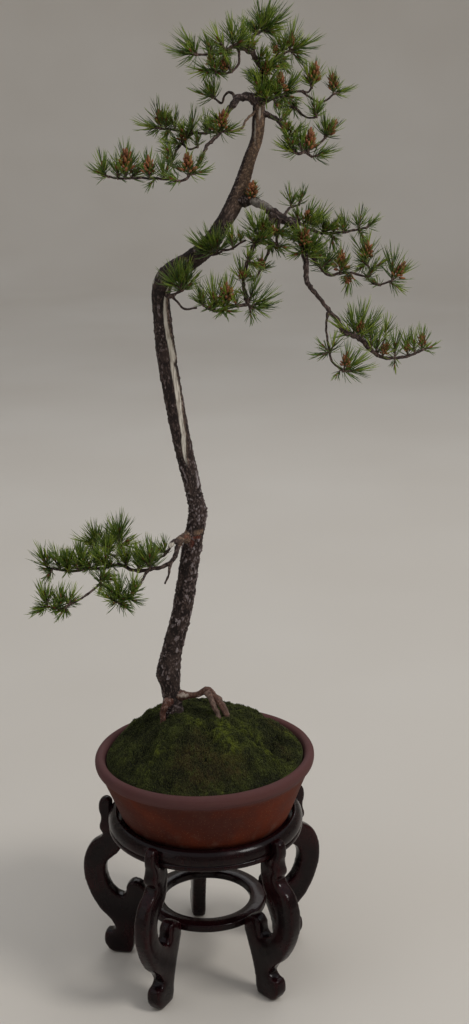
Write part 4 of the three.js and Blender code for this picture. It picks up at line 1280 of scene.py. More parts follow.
@dataclass
class MossMound:
    """The mossed root ball: a mound of cushions, covered in small tufts.

    Humps, carved spots and patches are (x, y, rise, spread).
    """

    pot: Pot
    edge_radius: float = 134.3
    reach: float = 136.5
    edge_z: float = 316.0
    crest: tuple[float, float] = (-15.0, 5.0)
    crest_rise: float = 72.0
    roundness: float = 1.1
    humps: Rows = ((58, 92, 3, 32), (-92, 10, -9, 30), (-88, 82, 9, 30))
    carved: Rows = (
        (-88, 4, -14, 21), (-72, -30, -10, 12), (-80, -56, -8, 12), (-96, -78, -5, 13),
        (98, -14, -12, 14), (84, -40, -7, 10), (104, -52, -5, 11), (-22, 16, -4, 14),
        (-5, 10, -11, 34), (-58, 16, -9, 27), (34, -36, 5, 24), (-38, -60, 4.5, 28),
        (60, -66, 3.5, 18), (-112, -46, 5, 16), (6, -100, -3, 14), (120, 12, 3, 14),
        (4, -56, -4, 9), (-8, -84, -3, 10),
    )
    thickness: float = 12.0
    thinnest: float = 3.5
    calm_edge: float = 14.0
    sunk: float = 0.5
    cushion: float = 15.0
    cushion_rise: float = 5.5
    cushion_rings: int = 90
    cushion_steps: int = 240
    wave_size: float = 34.0
    wave_rise: float = 3.0
    tuft_count: int = 40
    tuft_heights: tuple[float, float] = (1.8, 4.2)
    tuft_radii: tuple[float, float] = (0.76, 1.63)
    tuft_lean: float = 38.0
    clump_count: int = 10
    clump_radius: float = 11.0
    clump_spacing: float = 9.0
    row_share: float = 0.87
    scatter: float = 0.3
    seed: int = 11
    carried: tuple[str, ...] = ("tone", "fresh", "dry", "grey")
    fresh_patches: Rows = (
        (21, -44, 1, 16), (48, -30, 1, 13), (64, -34, 1, 12), (71, -48, 1, 10), (80, -60, 1, 10),
        (93, -62, 1, 11), (-12, -30, 1, 14), (118, 14, 1, 12), (-58, -74, 1, 12), (34, -70, 1, 16),
    )
    # Painted shade: spots where the moss's tone is pulled down in its hollows.
    painted_shade_patches: Rows = (
        (-92, 8, -0.85, 30), (98, -14, -0.9, 18), (-22, 14, -0.7, 24), (-72, -32, -0.8, 14),
        (-79, -56, -0.7, 14), (84, -38, -0.5, 11), (104, -52, -0.4, 11), (4, -56, -0.45, 12),
        (-110, -92, -0.5, 16), (-30, -112, -0.35, 18),
    )
    dry_patches: Rows = (
        (-20, -98, 1, 26), (8, -98, 1, 22), (40, -92, 1, 16), (104, -34, 1, 14), (-4, -62, 1, 14),
        (100, 30, 1, 18),
    )

    def build(self, green: Material) -> None:
        """Makes the cushions and the tufts."""
        self.build_cushions(green)
        self.build_tufts(green)

    def height(self, x: float, y: float) -> float:
        """Gives the mound's smooth height, as the solid below it has.

        Args:
            x: The place towards +X.
            y: The place towards +Y.

        Returns:
            The height above the ground.
        """
        away = Vector((x - self.crest[0], y - self.crest[1]))
        heading = away.normalized()
        along = self.crest[0] * heading.x + self.crest[1] * heading.y
        offset = self.crest[0] ** 2 + self.crest[1] ** 2 - self.reach**2
        share = min(away.length / (-along + math.sqrt(along**2 - offset)), 1.0)
        return self.edge_z + self.crest_rise * (1 - share**2) ** self.roundness + swells(self.humps, x, y)

    def surface(self, x: float, y: float) -> float:
        """Gives the mossy height: the mound with its cushions, which flatten towards the rim.

        Args:
            x: The place towards +X.
            y: The place towards +Y.

        Returns:
            The height above the ground.
        """
        place = Vector((x, y, 0.0)) + noise.noise_vector(Vector((x, y, 0.0)) / 16) * 5
        pads = 0.0
        for size, share in ((self.cushion, 1.0), (self.cushion * 0.42, 0.35)):
            spacing, _ = noise.voronoi(place / size)
            pads += share * (1 - min(spacing[0] / 0.75, 1.0) ** 2)
        wave = self.wave_rise * noise.noise(Vector((x, y, 3.0)) / self.wave_size)
        radius = math.hypot(x, y)
        calm = smoothstep(self.edge_radius, self.edge_radius - self.calm_edge, radius)
        relief = self.cushion_rise * (pads - 0.7) + wave + swells(self.carved, x, y)
        relief = max(relief, self.thinnest - self.thickness)
        lift = self.pot.lift(x, y) * smoothstep(0.4, 0.9, radius / self.edge_radius)
        return self.height(x, y) + calm * relief + lift * smoothstep(-8, -2, relief) - self.sunk

    def paint_patches_and_shade(self, layers: dict, vert: BMVert) -> None:
        """Marks how fresh, dry and grey the moss is at a vertex, and paints shade into its hollows over a
        random mottle.

        Args:
            layers: The shape's layers by name.
            vert: The vertex. It has its own tone.
        """
        x, y = vert.co.xy
        speck = mottle(Vector((x, y, 9.0)) / 5.0)
        edge = smoothstep(96, 126, math.hypot(x, y)) * smoothstep(30, 90, y)
        fresh, dry = (swells(patches, x, y) for patches in (self.fresh_patches, self.dry_patches))
        vert[layers["fresh"]] = min(fresh * smoothstep(0.35, 0.75, speck), 0.9)
        vert[layers["dry"]] = min(dry * smoothstep(0.2, 0.6, speck), 0.75)
        vert[layers["grey"]] = edge * smoothstep(0.35, 0.65, speck)
        patch = smoothstep(0.25, 0.7, mottle(Vector((x, y, 4.0)) / 19.0))
        # Painted shade in the listed hollows, times a random mottle of tone.
        shade = (1 + swells(self.painted_shade_patches, x, y)) * (0.25 + 1.1 * patch)
        vert[layers["tone"]] = clamp(vert[layers["tone"]] * shade)

    def build_cushions(self, green: Material) -> None:
        """Spins the mound's layer and shapes its top and its underside.

        Args:
            green: The moss's material.
        """
        above, below = 1.0, 0.0
        rings = self.cushion_rings
        top = [(self.edge_radius * index / rings, above) for index in range(rings + 1)]
        rim = [(133.3, 306.0), (130.5, 297.0)]
        under = [(radius, below) for radius in (104.0, 78.0, 52.0, 26.0, 0.0)]
        shape = turned([*top, *rim, *under], self.cushion_steps)
        layers = add_layers(shape, self.carried)
        for vert in shape.verts:
            x, y = vert.co.xy
            if vert.co.z == above:
                vert.co.z = self.surface(x, y)
                # Painted shade: tone is lower in the dips between cushions and higher on their tops.
                pad = (vert.co.z - self.height(x, y)) / self.cushion_rise
                vert[layers["tone"]] = 0.22 + 0.5 * pad
                self.paint_patches_and_shade(layers, vert)
            elif vert.co.z == below:
                vert.co.z = self.height(x, y) - self.thickness
        bmesh.ops.recalc_face_normals(shape, faces=shape.faces)
        finish_piece("moss_cushions", shape, [green], ["moss_mound"])

    def clump(self, seed: int) -> Mesh:
        """Makes one clump of upright tufts on flat ground.

        Args:
            seed: The clump's own random seed.

        Returns:
            The clump as a mesh to copy.
        """
        draw = random.Random(seed)
        shape = bmesh.new()
        tone = add_layers(shape, self.carried)["tone"]
        for _ in range(self.tuft_count):
            radius = self.clump_radius * math.sqrt(draw.random())
            azimuth = draw.uniform(0, math.tau)
            tall = draw.uniform(*self.tuft_heights)
            lean = Matrix.Rotation(math.radians(draw.uniform(0, self.tuft_lean)), 4, "X")
            turn = random_turn(draw)
            spot = Matrix.Translation((radius * math.cos(azimuth), radius * math.sin(azimuth), tall * 0.3))
            made = bmesh.ops.create_cone(
                shape, cap_ends=True, cap_tris=False, segments=3, radius1=draw.uniform(*self.tuft_radii),
                radius2=0.0, depth=tall, matrix=spot @ turn @ lean,
            )["verts"]
            shade = draw.uniform(0.25, 0.7)
            for vert in made:
                # Painted light and shade: each tuft is lighter at its tip and darker at its foot, on top of a
                # random tone.
                vert[tone] = shade + (0.4 if vert.co.z > tall / 2 else -0.2)
        return as_template(shape, f"moss_clump_{seed}")

    def build_tufts(self, green: Material) -> None:
        """Drapes copies of the clumps over the mound.

        Args:
            green: The moss's material.
        """
        draw = random.Random(self.seed)
        clumps = [self.clump(seed) for seed in range(self.clump_count)]
        shape = bmesh.new()
        layers = add_layers(shape, self.carried)
        spread = int(self.edge_radius / self.clump_spacing) + 2
        limit = self.edge_radius - 1.5
        lines = range(-spread, spread + 1)
        for row, column in product(lines, lines):
            across = column + 0.5 * (row % 2) + draw.uniform(-self.scatter, self.scatter)
            back = row * self.row_share + draw.uniform(-self.scatter, self.scatter)
            spot = Vector((across * self.clump_spacing, back * self.clump_spacing, 0.0))
            if math.hypot(across * self.clump_spacing, back * self.clump_spacing) > limit:
                continue
            turn = random_turn(draw)
            for vert in add_template(shape, draw.choice(clumps)):
                place = turn @ vert.co + spot
                place.xy *= min(1.0, limit / place.xy.length)
                vert.co = (place.x, place.y, self.surface(place.x, place.y) + place.z)
                self.paint_patches_and_shade(layers, vert)
        finish_piece("moss_tufts", shape, [green], ["moss_mound"])


@dataclass(frozen=True)
class Mark:
    """What a place on the wood carries besides its bark."""

    bare: float = 0.0
    heart: float = 0.0
    rise: float = 0.0
    roughness: float = 1.0
    dark: float = 0.0
    pale: float = 0.0
    flaky: float = 0.6


class ScarKind(Enum):
    """What a scar on the wood shows."""

    BARE = "bare"
    HEART = "heart"
    WORN = "worn"
    KNOB = "knob"


@dataclass(frozen=True)
class Scar:
    """A mark on the wood: its middle, its half sizes along X, Y and Z, its rise and how strongly it shows."""

    kind: ScarKind
    middle: Triple
    size: Triple
    rise: float = 0.0
    strength: float = 1.0

    def reach(self, point: Vector) -> float:
        """Measures how far a point is from the scar's middle.

        Args:
            point: The point.

        Returns:
            The distance as a share of the scar's size, ragged at its edge.
        """
        away = point - Vector(self.middle)
        share = Vector(away[axis] / self.size[axis] for axis in range(3)).length
        return share + 0.35 * noise.noise(point / 3.0) + 0.15 * noise.noise(point / 1.2)


@dataclass
class Wood:
    """The trunk or one main branch, with the twigs and roots that grow on it.

    Its fineness is the sides and the spacing of a stretch whose thickest radius passes each limit.
    """

    name: str
    twigs: list[Twig]
    scars: tuple[Scar, ...] = ()
    fineness: tuple[tuple[float, int, float], ...] = ((15.0, 92, 1.45), (3.4, 32, 1.5), (0.0, 12, 1.6))
    bark_depth: float = 2.1
    bark_share: float = 0.17
    young_radii: tuple[float, float] = (5.0, 2.2)
    thin: float = 10.0
    collar: float = 0.55
    gnarl: float = 0.3
    most_gnarl: float = 1.1
    fixed_end: float = 8.0
    layers: dict = field(default_factory=dict)

    def build(self, bark: Material) -> None:
        """Sweeps every stretch of wood and gives it bark.

        Args:
            bark: The wood's material.
        """
        shape = bmesh.new()
        self.layers = add_layers(shape, ("relief", "bare", "heart", "young", "pale"))
        for index, twig in enumerate(self.twigs):
            self.grow(shape, twig, index)
        bmesh.ops.recalc_face_normals(shape, faces=shape.faces)
        finish_piece(f"wood_{self.name}", shape, [bark], [self.name])

    def grow(self, shape: BMesh, twig: Twig, index: int) -> None:
        """Sweeps one stretch, makes it gnarled and moves its skin in and out as bark.

        Args:
            shape: The shape to add to.
            twig: The stretch of wood.
            index: Its place in the list.
        """
        thickest = max(point[3] for point in twig.route)
        sides, spacing = next(tuple(fine) for limit, *fine in self.fineness if thickest > limit)
        stations = Route(twig.route).stations(spacing)
        swept = sweep(shape, stations, sides)
        seed = 37.0 * index + 11.0 * len(self.name)
        for vert, station in swept:
            outward = vert.co - station.centre
            if outward.length < 1e-6:
                continue
            outward.normalize()
            mark = self.mark(vert.co, station, outward, index)
            relief = self.bark(station, outward, seed)
            depth = min(self.bark_depth, self.bark_share * station.radius) * mark.roughness
            rise = depth * (1 - mark.bare) * (relief - 0.5) + mark.rise
            if thickest < self.thin:
                swell, stray = self.gnarls(station, twig.route[0][3], stations[-1].along, seed)
                vert.co += outward * (rise + swell * station.radius) + stray
            else:
                vert.co += outward * rise
            vert[self.layers["relief"]] = relief * (0.55 + 0.45 * mark.flaky) * (1 - mark.dark)
            vert[self.layers["pale"]] = mark.pale
            vert[self.layers["bare"]] = mark.bare
            vert[self.layers["heart"]] = mark.heart
            vert[self.layers["young"]] = smoothstep(*self.young_radii, station.radius)

    def gnarls(self, station: Station, foot: float, total: float, seed: float) -> tuple[float, Vector]:
        """Swells a thin stretch at its collar and its knots, and bends it off its line.

        Args:
            station: The place along the wood.
            foot: The stretch's radius where it starts.
            total: The stretch's length.
            seed: A number that sets this stretch's pattern apart.

        Returns:
            The swell as a share of the radius, and the way off the line.
        """
        along = station.along
        swell = self.collar * smoothstep(9, 5, foot) * bell(along, 2.6 * foot)
        knots = noise.noise(Vector((along / 4.5, seed, 0.0)))
        swell += 0.2 * knots + 0.3 * max(0.0, noise.noise(Vector((along / 7, seed, 7.0))))
        fixed = smoothstep(0, self.fixed_end, along) * smoothstep(total, total - self.fixed_end, along)
        sway = min(self.gnarl * station.radius, self.most_gnarl) * fixed
        return swell, noise.noise_vector(Vector((along / 8, seed, 3.0))) * sway * 2

    def bark(self, station: Station, outward: Vector, seed: float) -> float:
        """Gives the bark's relief at one place.

        Args:
            station: The place along the wood.
            outward: The way out of the wood there.
            seed: A number that sets this stretch's pattern apart.

        Returns:
            The relief, from 0 in a crack to about 1 on a flake.
        """
        around = Vector((outward.dot(station.side), outward.dot(station.cross))) * station.radius
        place = Vector((around.x, around.y, station.along * 0.58 + seed))
        place += noise.noise_vector(place / 4.5) * min(2.6, 0.25 * station.radius)
        relief = 0.0
        for size, share in ((1.8 + 0.19 * station.radius, 0.6), (1.1 + 0.09 * station.radius, 0.4)):
            spacing, middles = noise.voronoi(place / size)
            plate = smoothstep(0.02, 0.36, spacing[1] - spacing[0])
            relief += share * plate * (0.25 + 0.75 * noise.cell(middles[0] * 9.0))
        return relief + 0.16 * noise.noise(place / 1.3)

    def mark(self, point: Vector, station: Station, outward: Vector, index: int) -> Mark:
        """Finds what the scars do at a point of the wood.

        Args:
            point: The point, before the bark moves it.
            station: Its place along the wood. Not used here.
            outward: The way out of the wood there. Not used here.
            index: The stretch's place in the list. Not used here.

        Returns:
            What the point carries.
        """
        shown = {kind: 0.0 for kind in ScarKind}
        rise = 0.0
        for scar in self.scars:
            reach = scar.reach(point)
            if reach <= 2:
                shown[scar.kind] = max(shown[scar.kind], scar.strength * smoothstep(1.1, 0.7, reach))
                rise += scar.rise * math.exp(-reach * reach)
        return Mark(shown[ScarKind.BARE], shown[ScarKind.HEART], rise, pale=shown[ScarKind.WORN])


@dataclass
class Trunk(Wood):
    """The trunk with its leader and roots, and the strip of bare deadwood down its front.

    The strip is (height, azimuth, half width). The other tables are (height, value), and
    root_paleness is how much of each listed root is worn bare.
    """

    strip: Rows = (
        (729, 0, 0.0), (735, -2, 1.2), (741, -3, 2.0), (756, 7, 3.3), (770, 21, 3.1), (799, 27, 3.3),
        (814, 33, 4.0), (828, 38, 4.4), (842, 33, 3.7), (856, 33, 4.0), (870, 45, 5.2), (885, 36, 3.9),
        (900, 26, 3.0), (913, 22, 2.7), (927, 22, 2.4), (941, 31, 1.8), (955, 37, 1.2), (962, 40, 0.0),
    )
    roughness: Rows = (
        (330, 0.9), (420, 1.2), (640, 1.3), (710, 1.2), (780, 0.9), (900, 0.75), (960, 0.8), (1000, 0.75),
        (1050, 0.6), (1180, 0.55), (1250, 0.8),
    )
    paleness: Rows = (
        (1035, 0.0), (1085, 0.75), (1160, 0.9), (1180, 0.5), (1195, 0.1),
    )
    flaking: Rows = (
        (330, 0.95), (480, 1.0), (690, 1.0), (730, 0.6), (760, 0.2), (930, 0.15), (960, 0.1),
        (1040, 0.15), (1100, 0.2),
    )
    root_paleness: dict[int, float] = field(default_factory=lambda: {7: 0.05, 8: 0.2, 9: 0.2, 10: 0.0})

    def mark(self, point: Vector, station: Station, outward: Vector, index: int) -> Mark:
        """Adds the pale leader, painted pale only on its side towards the light, the worn roots, with painted
        light and shade, and the deadwood strip to the scars.

        Args:
            point: The point, before the bark moves it.
            station: Its place along the wood.
            outward: The way out of the wood there.
            index: The stretch's place in the list.

        Returns:
            What the point carries.
        """
        found = super().mark(point, station, outward, index)
        tables = (self.roughness, self.paleness, self.flaking)
        rough, leader, flaky = (along_table(table, point.z)[0] for table in tables)
        # Painted light: the leader's pale goes only on its side that faces +X, towards the key light.
        pale = max(found.pale, leader * smoothstep(-0.75, -0.2, outward.x))
        plain = replace(found, roughness=rough, pale=pale, flaky=flaky)
        if index in self.root_paleness:
            return self.worn_and_lit_root(plain, station, outward, self.root_paleness[index])
        if index == 0 and self.strip[0][0] < point.z < self.strip[-1][0]:
            return self.deadwood(plain, point, station, outward)
        return plain

    def worn_and_lit_root(self, plain: Mark, station: Station, outward: Vector, most: float) -> Mark:
        """Wears a root pale in streaks, with painted light on its top and painted shade on its sides and
        underside.

        Args:
            plain: What the point carries so far.
            station: Its place along the root.
            outward: The way out of the root there.
            most: How bare the root is where it is worn most.

        Returns:
            What the point carries.
        """
        worn = mottle(Vector((outward.x * 2, outward.y * 2, station.along / 14)))
        # Painted light: the worn streaks lean towards the root's top, which faces up to the light.
        worn = smoothstep(0.2, 0.65, worn + 0.25 * outward.z)
        bare, pale = max(plain.bare, most * worn), max(plain.pale, 0.3 * worn)
        # Painted shade: dark darkens the unworn sides and underside.
        return replace(plain, bare=bare, pale=pale, heart=0.35, dark=0.3 * (1 - worn))

    def deadwood(self, plain: Mark, point: Vector, station: Station, outward: Vector) -> Mark:
        """Sinks the bare strip into the bark, with its raised lip, dark seam, crease and broken end.

        Args:
            plain: What the point carries so far.
            point: The point, before the bark moves it.
            station: Its place along the trunk.
            outward: The way out of the trunk there.

        Returns:
            What the point carries.
        """
        azimuth, half = along_table(self.strip, point.z)
        wander = 0.6 * noise.noise(Vector((point.z / 9, 0.0, 5.0)))
        turn = math.degrees(math.atan2(outward.x, -outward.y)) - azimuth
        off = math.radians(turn) * station.radius + wander
        inside = smoothstep(half + 0.3, half - 0.4, abs(off))
        strength = min(half, 1.5) / 1.5
        lip = bell(off - half - 1.3, 1.0) * strength
        seam = bell(off + half + 0.7, 0.9) * strength
        crease = 0.7 * bell(off - half * 0.2, 0.5) * smoothstep(850, 810, point.z)
        broken = bell(point.z - 860, 3.5) * smoothstep(1.0, 3.5, off)
        rise = plain.rise + (-1.3 * inside + 0.7 * lip - 0.9 * seam - 0.4 * crease - 1.2 * broken)
        bare = max(plain.bare, inside * (1 - 0.7 * crease) * (1 - seam) * (1 - broken))
        return replace(plain, bare=bare, rise=rise, dark=max(seam, crease, broken), pale=0.5 * lip)


@dataclass(frozen=True)
class Shoot:
    """One shoot of needles: where it starts, which way it heads, its length and its cluster of cones."""

    spray: str
    start: Vector
    heading: Vector
    length: float
    cones: float

    @staticmethod
    def all() -> list["Shoot"]:
        """Reads every shoot of the tree.

        Returns:
            The shoots, in the tree's order.
        """
        found = []
        for twig in chain.from_iterable(TREE.values()):
            route = Route(twig.route)
            for spray, rows in twig.shoots.items():
                for place, right, front, length, *cones in rows:
                    heading = Matrix.Rotation(math.radians(front), 3, "X") @ UP
                    heading = Matrix.Rotation(math.radians(right), 3, "Y") @ heading
                    found.append(Shoot(spray, route.at(place).xyz, heading, length, sum(cones)))
        return found


class ShootPart(Enum):
    """The parts of a shoot, in the order of its piece's materials."""

    NEEDLE = 0
    STEM = 1
    BUD = 2


@dataclass
class Foliage:
    """The needles: pairs in spirals round each shoot's stem, one piece for each spray.

    A needle's outline is (share of its length, share of its width). The first pair stands at
    bare_foot of the shoot's size, and the rest along leafy_share of it.
    """

    sizes: tuple[float, ...] = (20.0, 28.0, 36.0)
    seeds: int = 5
    pairs_per_length: float = 0.58
    bare_foot: float = 0.02
    leafy_share: float = 0.42
    foot_tilt: float = 68.0
    tilt_loss: float = 54.0
    stem_share: float = 0.47
    bud_size: Triple = (1.3, 1.3, 3.1)
    needle_length: float = 20.0
    needle_width: float = 1.2
    needle_thickness: float = 0.82
    needle_outline: Rows = ((0.0, 0.8), (0.35, 1.0), (0.75, 0.85), (1.0, 0.1))
    bends: tuple[float, ...] = (4.0, 14.0, 26.0, 38.0, -10.0)
    side_size: float = 0.72
    lift: float = 0.004
    sparse: tuple[str, ...] = ("cascade_", "thin_twig", "hanging_low", "right_spray_end")
    dense: tuple[str, ...] = ("lower_left",)
    carried: tuple[str, ...] = ("along", "tone", "young", "relief")
    needles: list[Mesh] = field(default_factory=list)
    templates: dict[tuple[float, int], Mesh] = field(default_factory=dict)

    def build(self, green: Material, bark: Material, cones: Material) -> None:
        """Makes one piece for each spray.

        Args:
            green: The needles' material.
            bark: The stems' material.
            cones: The buds' material.
        """
        self.needles = [self.needle(bend) for bend in self.bends]
        for size, seed in product(self.sizes, range(self.seeds)):
            self.templates[size, seed] = self.shoot(size, seed)
        draw = random.Random(self.seeds)
        sprays: dict[str, list[Shoot]] = {}
        for shoot in Shoot.all():
            sprays.setdefault(shoot.spray, []).append(shoot)
        for spray, shoots in sprays.items():
            shape = bmesh.new()
            tone = add_layers(shape, self.carried)["tone"]
            sides = 0 if spray.startswith(self.sparse) else 2 if spray.startswith(self.dense) else 1
            for shoot in shoots:
                self.place(shape, tone, shoot, draw)
                for _ in range(sides):
                    self.place(shape, tone, self.side_shoot(shoot, draw), draw)
            finish_piece(f"spray_{spray}", shape, [green, bark, cones], [f"needles_{spray}"])

    def side_shoot(self, shoot: Shoot, draw: random.Random) -> Shoot:
        """Leans a smaller shoot out of the foot of a listed one.

        Args:
            shoot: The listed shoot.
            draw: The source of random numbers.

        Returns:
            The smaller shoot.
        """
        away = Vector((draw.uniform(-1, 1), draw.uniform(-1, 1), draw.uniform(-0.2, 0.9)))
        heading = (shoot.heading + away.normalized() * 0.85).normalized()
        length = shoot.length * self.side_size * draw.uniform(0.85, 1.15)
        return Shoot(shoot.spray, shoot.start + shoot.heading * shoot.length * 0.08, heading, length, 0.0)

    def needle(self, bend: float) -> Mesh:
        """Makes one needle along Z, which bends towards +X.

        Args:
            bend: The turn from its base to its tip, in degrees.

        Returns:
            The needle as a mesh to copy.
        """
        shape = bmesh.new()
        along = add_layers(shape, self.carried)["along"]
        stations = []
        for share, width in self.needle_outline:
            turn = math.radians(bend) * share
            centre = Vector((math.sin(turn / 2), 0.0, math.cos(turn / 2))) * share * self.needle_length
            side = Vector((math.cos(turn), 0.0, -math.sin(turn)))
            tangent = Vector((math.sin(turn), 0.0, math.cos(turn)))
            radius = width * self.needle_thickness / 2
            stations.append(Station(centre, side, tangent.cross(side), tangent, radius, share))
        swept = sweep(shape, stations, 3)
        bmesh.ops.scale(shape, vec=(1, self.needle_width / self.needle_thickness, 1), verts=shape.verts)
        for vert, station in swept:
            vert[along] = station.along
        return as_template(shape, f"needle_{bend:.0f}")

    def shoot(self, size: float, seed: int) -> Mesh:
        """Makes one shoot along Z: a stem, its needles in pairs, and a small bud at its end.

        Args:
            size: The shoot's length.
            seed: The shoot's own random seed.

        Returns:
            The shoot as a mesh to copy.
        """
        draw = random.Random(100 * seed + int(size))
        shape = bmesh.new()
        layers = add_layers(shape, self.carried)
        pairs = round(self.pairs_per_length * size)
        for index in range(pairs):
            share = index / (pairs - 1)
            foot = Matrix.Translation((0, 0, size * (self.bare_foot + self.leafy_share * share)))
            azimuth = index * GOLDEN_ANGLE + draw.uniform(-0.4, 0.4)
            tilt = self.foot_tilt - self.tilt_loss * share**0.9 + draw.uniform(-14, 12)
            shade = clamp(draw.gauss(0.42, 0.3))
            reach = draw.uniform(0.62, 1.0) * (0.88 + 0.1 * share)
            for side in (-1, 1):
                long = size * reach * draw.uniform(0.92, 1.0)
                turn = Matrix.Rotation(azimuth + side * math.radians(draw.uniform(3, 10)), 4, "Z")
                lean = Matrix.Rotation(math.radians(tilt + draw.uniform(-6, 6)), 4, "Y")
                flip = Matrix.Rotation(math.pi + draw.uniform(-0.8, 0.8), 4, "Z")
                scale = Matrix.Diagonal((1.0, 1.0, long / self.needle_length, 1.0))
                place = foot @ turn @ lean @ flip @ scale
                for vert in add_template(shape, draw.choice(self.needles)):
                    vert.co = place @ vert.co
                    vert[layers["tone"]] = shade
        self.add_stem(shape, layers, size, draw)
        bmesh.ops.recalc_face_normals(shape, faces=shape.faces)
        return as_template(shape, f"shoot_{size:.0f}_{seed}")

    def add_stem(self, shape: BMesh, layers: dict, size: float, draw: random.Random) -> None:
        """Adds the scaly stem and the bud at its end to a shoot of needles.

        Args:
            shape: The shape to add to.
            layers: Its layers by name.
            size: The shoot's length.
            draw: The source of random numbers.
        """
        first_face = len(shape.faces)
        end = size * self.stem_share
        scaly = [(0, 0, size * 0.15, 1.25), (0.3, 0.2, size * 0.32, 1.1)]
        points = [(0, 0, -1.5, 1.3), *scaly, (0, 0, end, 0.8)]
        for vert, station in sweep(shape, Route(points).stations(2.2), 6):
            vert.co += (vert.co - station.centre) * draw.uniform(-0.12, 0.3)
            vert[layers["young"]] = 1.0
            vert[layers["relief"]] = draw.uniform(0.3, 0.9)
        first_bud_face = len(shape.faces)
        bud = Matrix.Translation((0, 0, end + 1.8)) @ Matrix.Diagonal((*self.bud_size, 1.0))
        for vert in add_ball(shape, bud, 7, 5):
            vert[layers["along"]] = 0.8
            vert[layers["tone"]] = 0.35
        for index, face in enumerate(shape.faces):
            if index >= first_face:
                face.material_index = (ShootPart.STEM if index < first_bud_face else ShootPart.BUD).value

    def place(self, shape: BMesh, tone: BMLayerItem, shoot: Shoot, draw: random.Random) -> None:
        """Copies a ready shoot to its place on the tree.

        Args:
            shape: The shape to add to.
            tone: Its layer of tone.
            shoot: The shoot.
            draw: The source of random numbers.
        """
        size = min(self.sizes, key=lambda known: abs(known - shoot.length))
        template = self.templates[size, draw.randrange(self.seeds)]
        shade = draw.uniform(-0.16, 0.2)
        place = set_out(shoot.start, shoot.heading, shoot.length / size, draw)
        for vert in add_template(shape, template):
            vert.co = place @ vert.co
            vert.co.z += self.lift * (vert.co - shoot.start).xy.length_squared
            vert[tone] = clamp(vert[tone] + shade)


@dataclass
class ConeClusters:
    """Upright clusters of orange-brown pollen cones in the middle of many shoots."""

    seeds: int = 5
    seed: int = 23
    cones: int = 26
    cluster_length: float = 18.0
    cluster_width: float = 5.2
    cluster_scale: float = 1.13
    cone_lengths: tuple[float, float] = (4.2, 7.8)
    cone_radius: float = 1.35
    tip_size: Triple = (1.5, 1.5, 4.6)
    carried: tuple[str, ...] = ("along", "tone")

    def build(self, brown: Material) -> None:
        """Puts a cluster on each shoot that has one.

        Args:
            brown: The cones' material.
        """
        templates = [self.cluster(seed) for seed in range(self.seeds)]
        draw = random.Random(self.seed)
        shape = bmesh.new()
        add_layers(shape, self.carried)
        for shoot in Shoot.all():
            if shoot.cones:
                heading = (shoot.heading * 0.7 + UP * 0.45 - Vector((0, 0.15, 0))).normalized()
                foot = shoot.start + shoot.heading * shoot.length * 0.16
                scale = self.cluster_scale * shoot.cones / self.cluster_length
                place = set_out(foot, heading, scale, draw)
                for vert in add_template(shape, draw.choice(templates)):
                    vert.co = place @ vert.co
        finish_piece("pollen_cones", shape, [brown], [])

    def cluster(self, seed: int) -> Mesh:
        """Makes one cluster along Z: small pointed cones in a spiral, and a candle at its tip.

        Args:
            seed: The cluster's own random seed.

        Returns:
            The cluster as a mesh to copy.
        """
        draw = random.Random(700 + seed)
        shape = bmesh.new()
        layers = add_layers(shape, self.carried)
        for index in range(self.cones):
            share = index / (self.cones - 1)
            foot = self.cluster_length * (0.04 + 0.62 * share)
            spread = self.cluster_width * (0.55 - 0.45 * share)
            tilt = math.radians(62 - 46 * share + draw.uniform(-14, 14))
            half = draw.uniform(*self.cone_lengths) / 2
            turn = Matrix.Rotation(index * GOLDEN_ANGLE, 4, "Z") @ Matrix.Translation((spread, 0, foot))
            place = turn @ Matrix.Rotation(tilt, 4, "Y") @ Matrix.Translation((0, 0, half))
            body = place @ Matrix.Diagonal((self.cone_radius, self.cone_radius, half, 1.0))
            made = add_ball(shape, body, 6, 4)
            shade = draw.uniform(0.1, 1.0)
            back = body.inverted()
            for vert in made:
                vert[layers["along"]] = (back @ vert.co).z / 2 + 0.5
                vert[layers["tone"]] = shade
        tip = Matrix.Translation((0, 0, self.cluster_length * 0.86)) @ Matrix.Diagonal((*self.tip_size, 1.0))
        for vert in add_ball(shape, tip, 7, 6):
            vert[layers["along"]] = 0.7
            vert[layers["tone"]] = 0.55
        return as_template(shape, f"cone_cluster_{seed}")


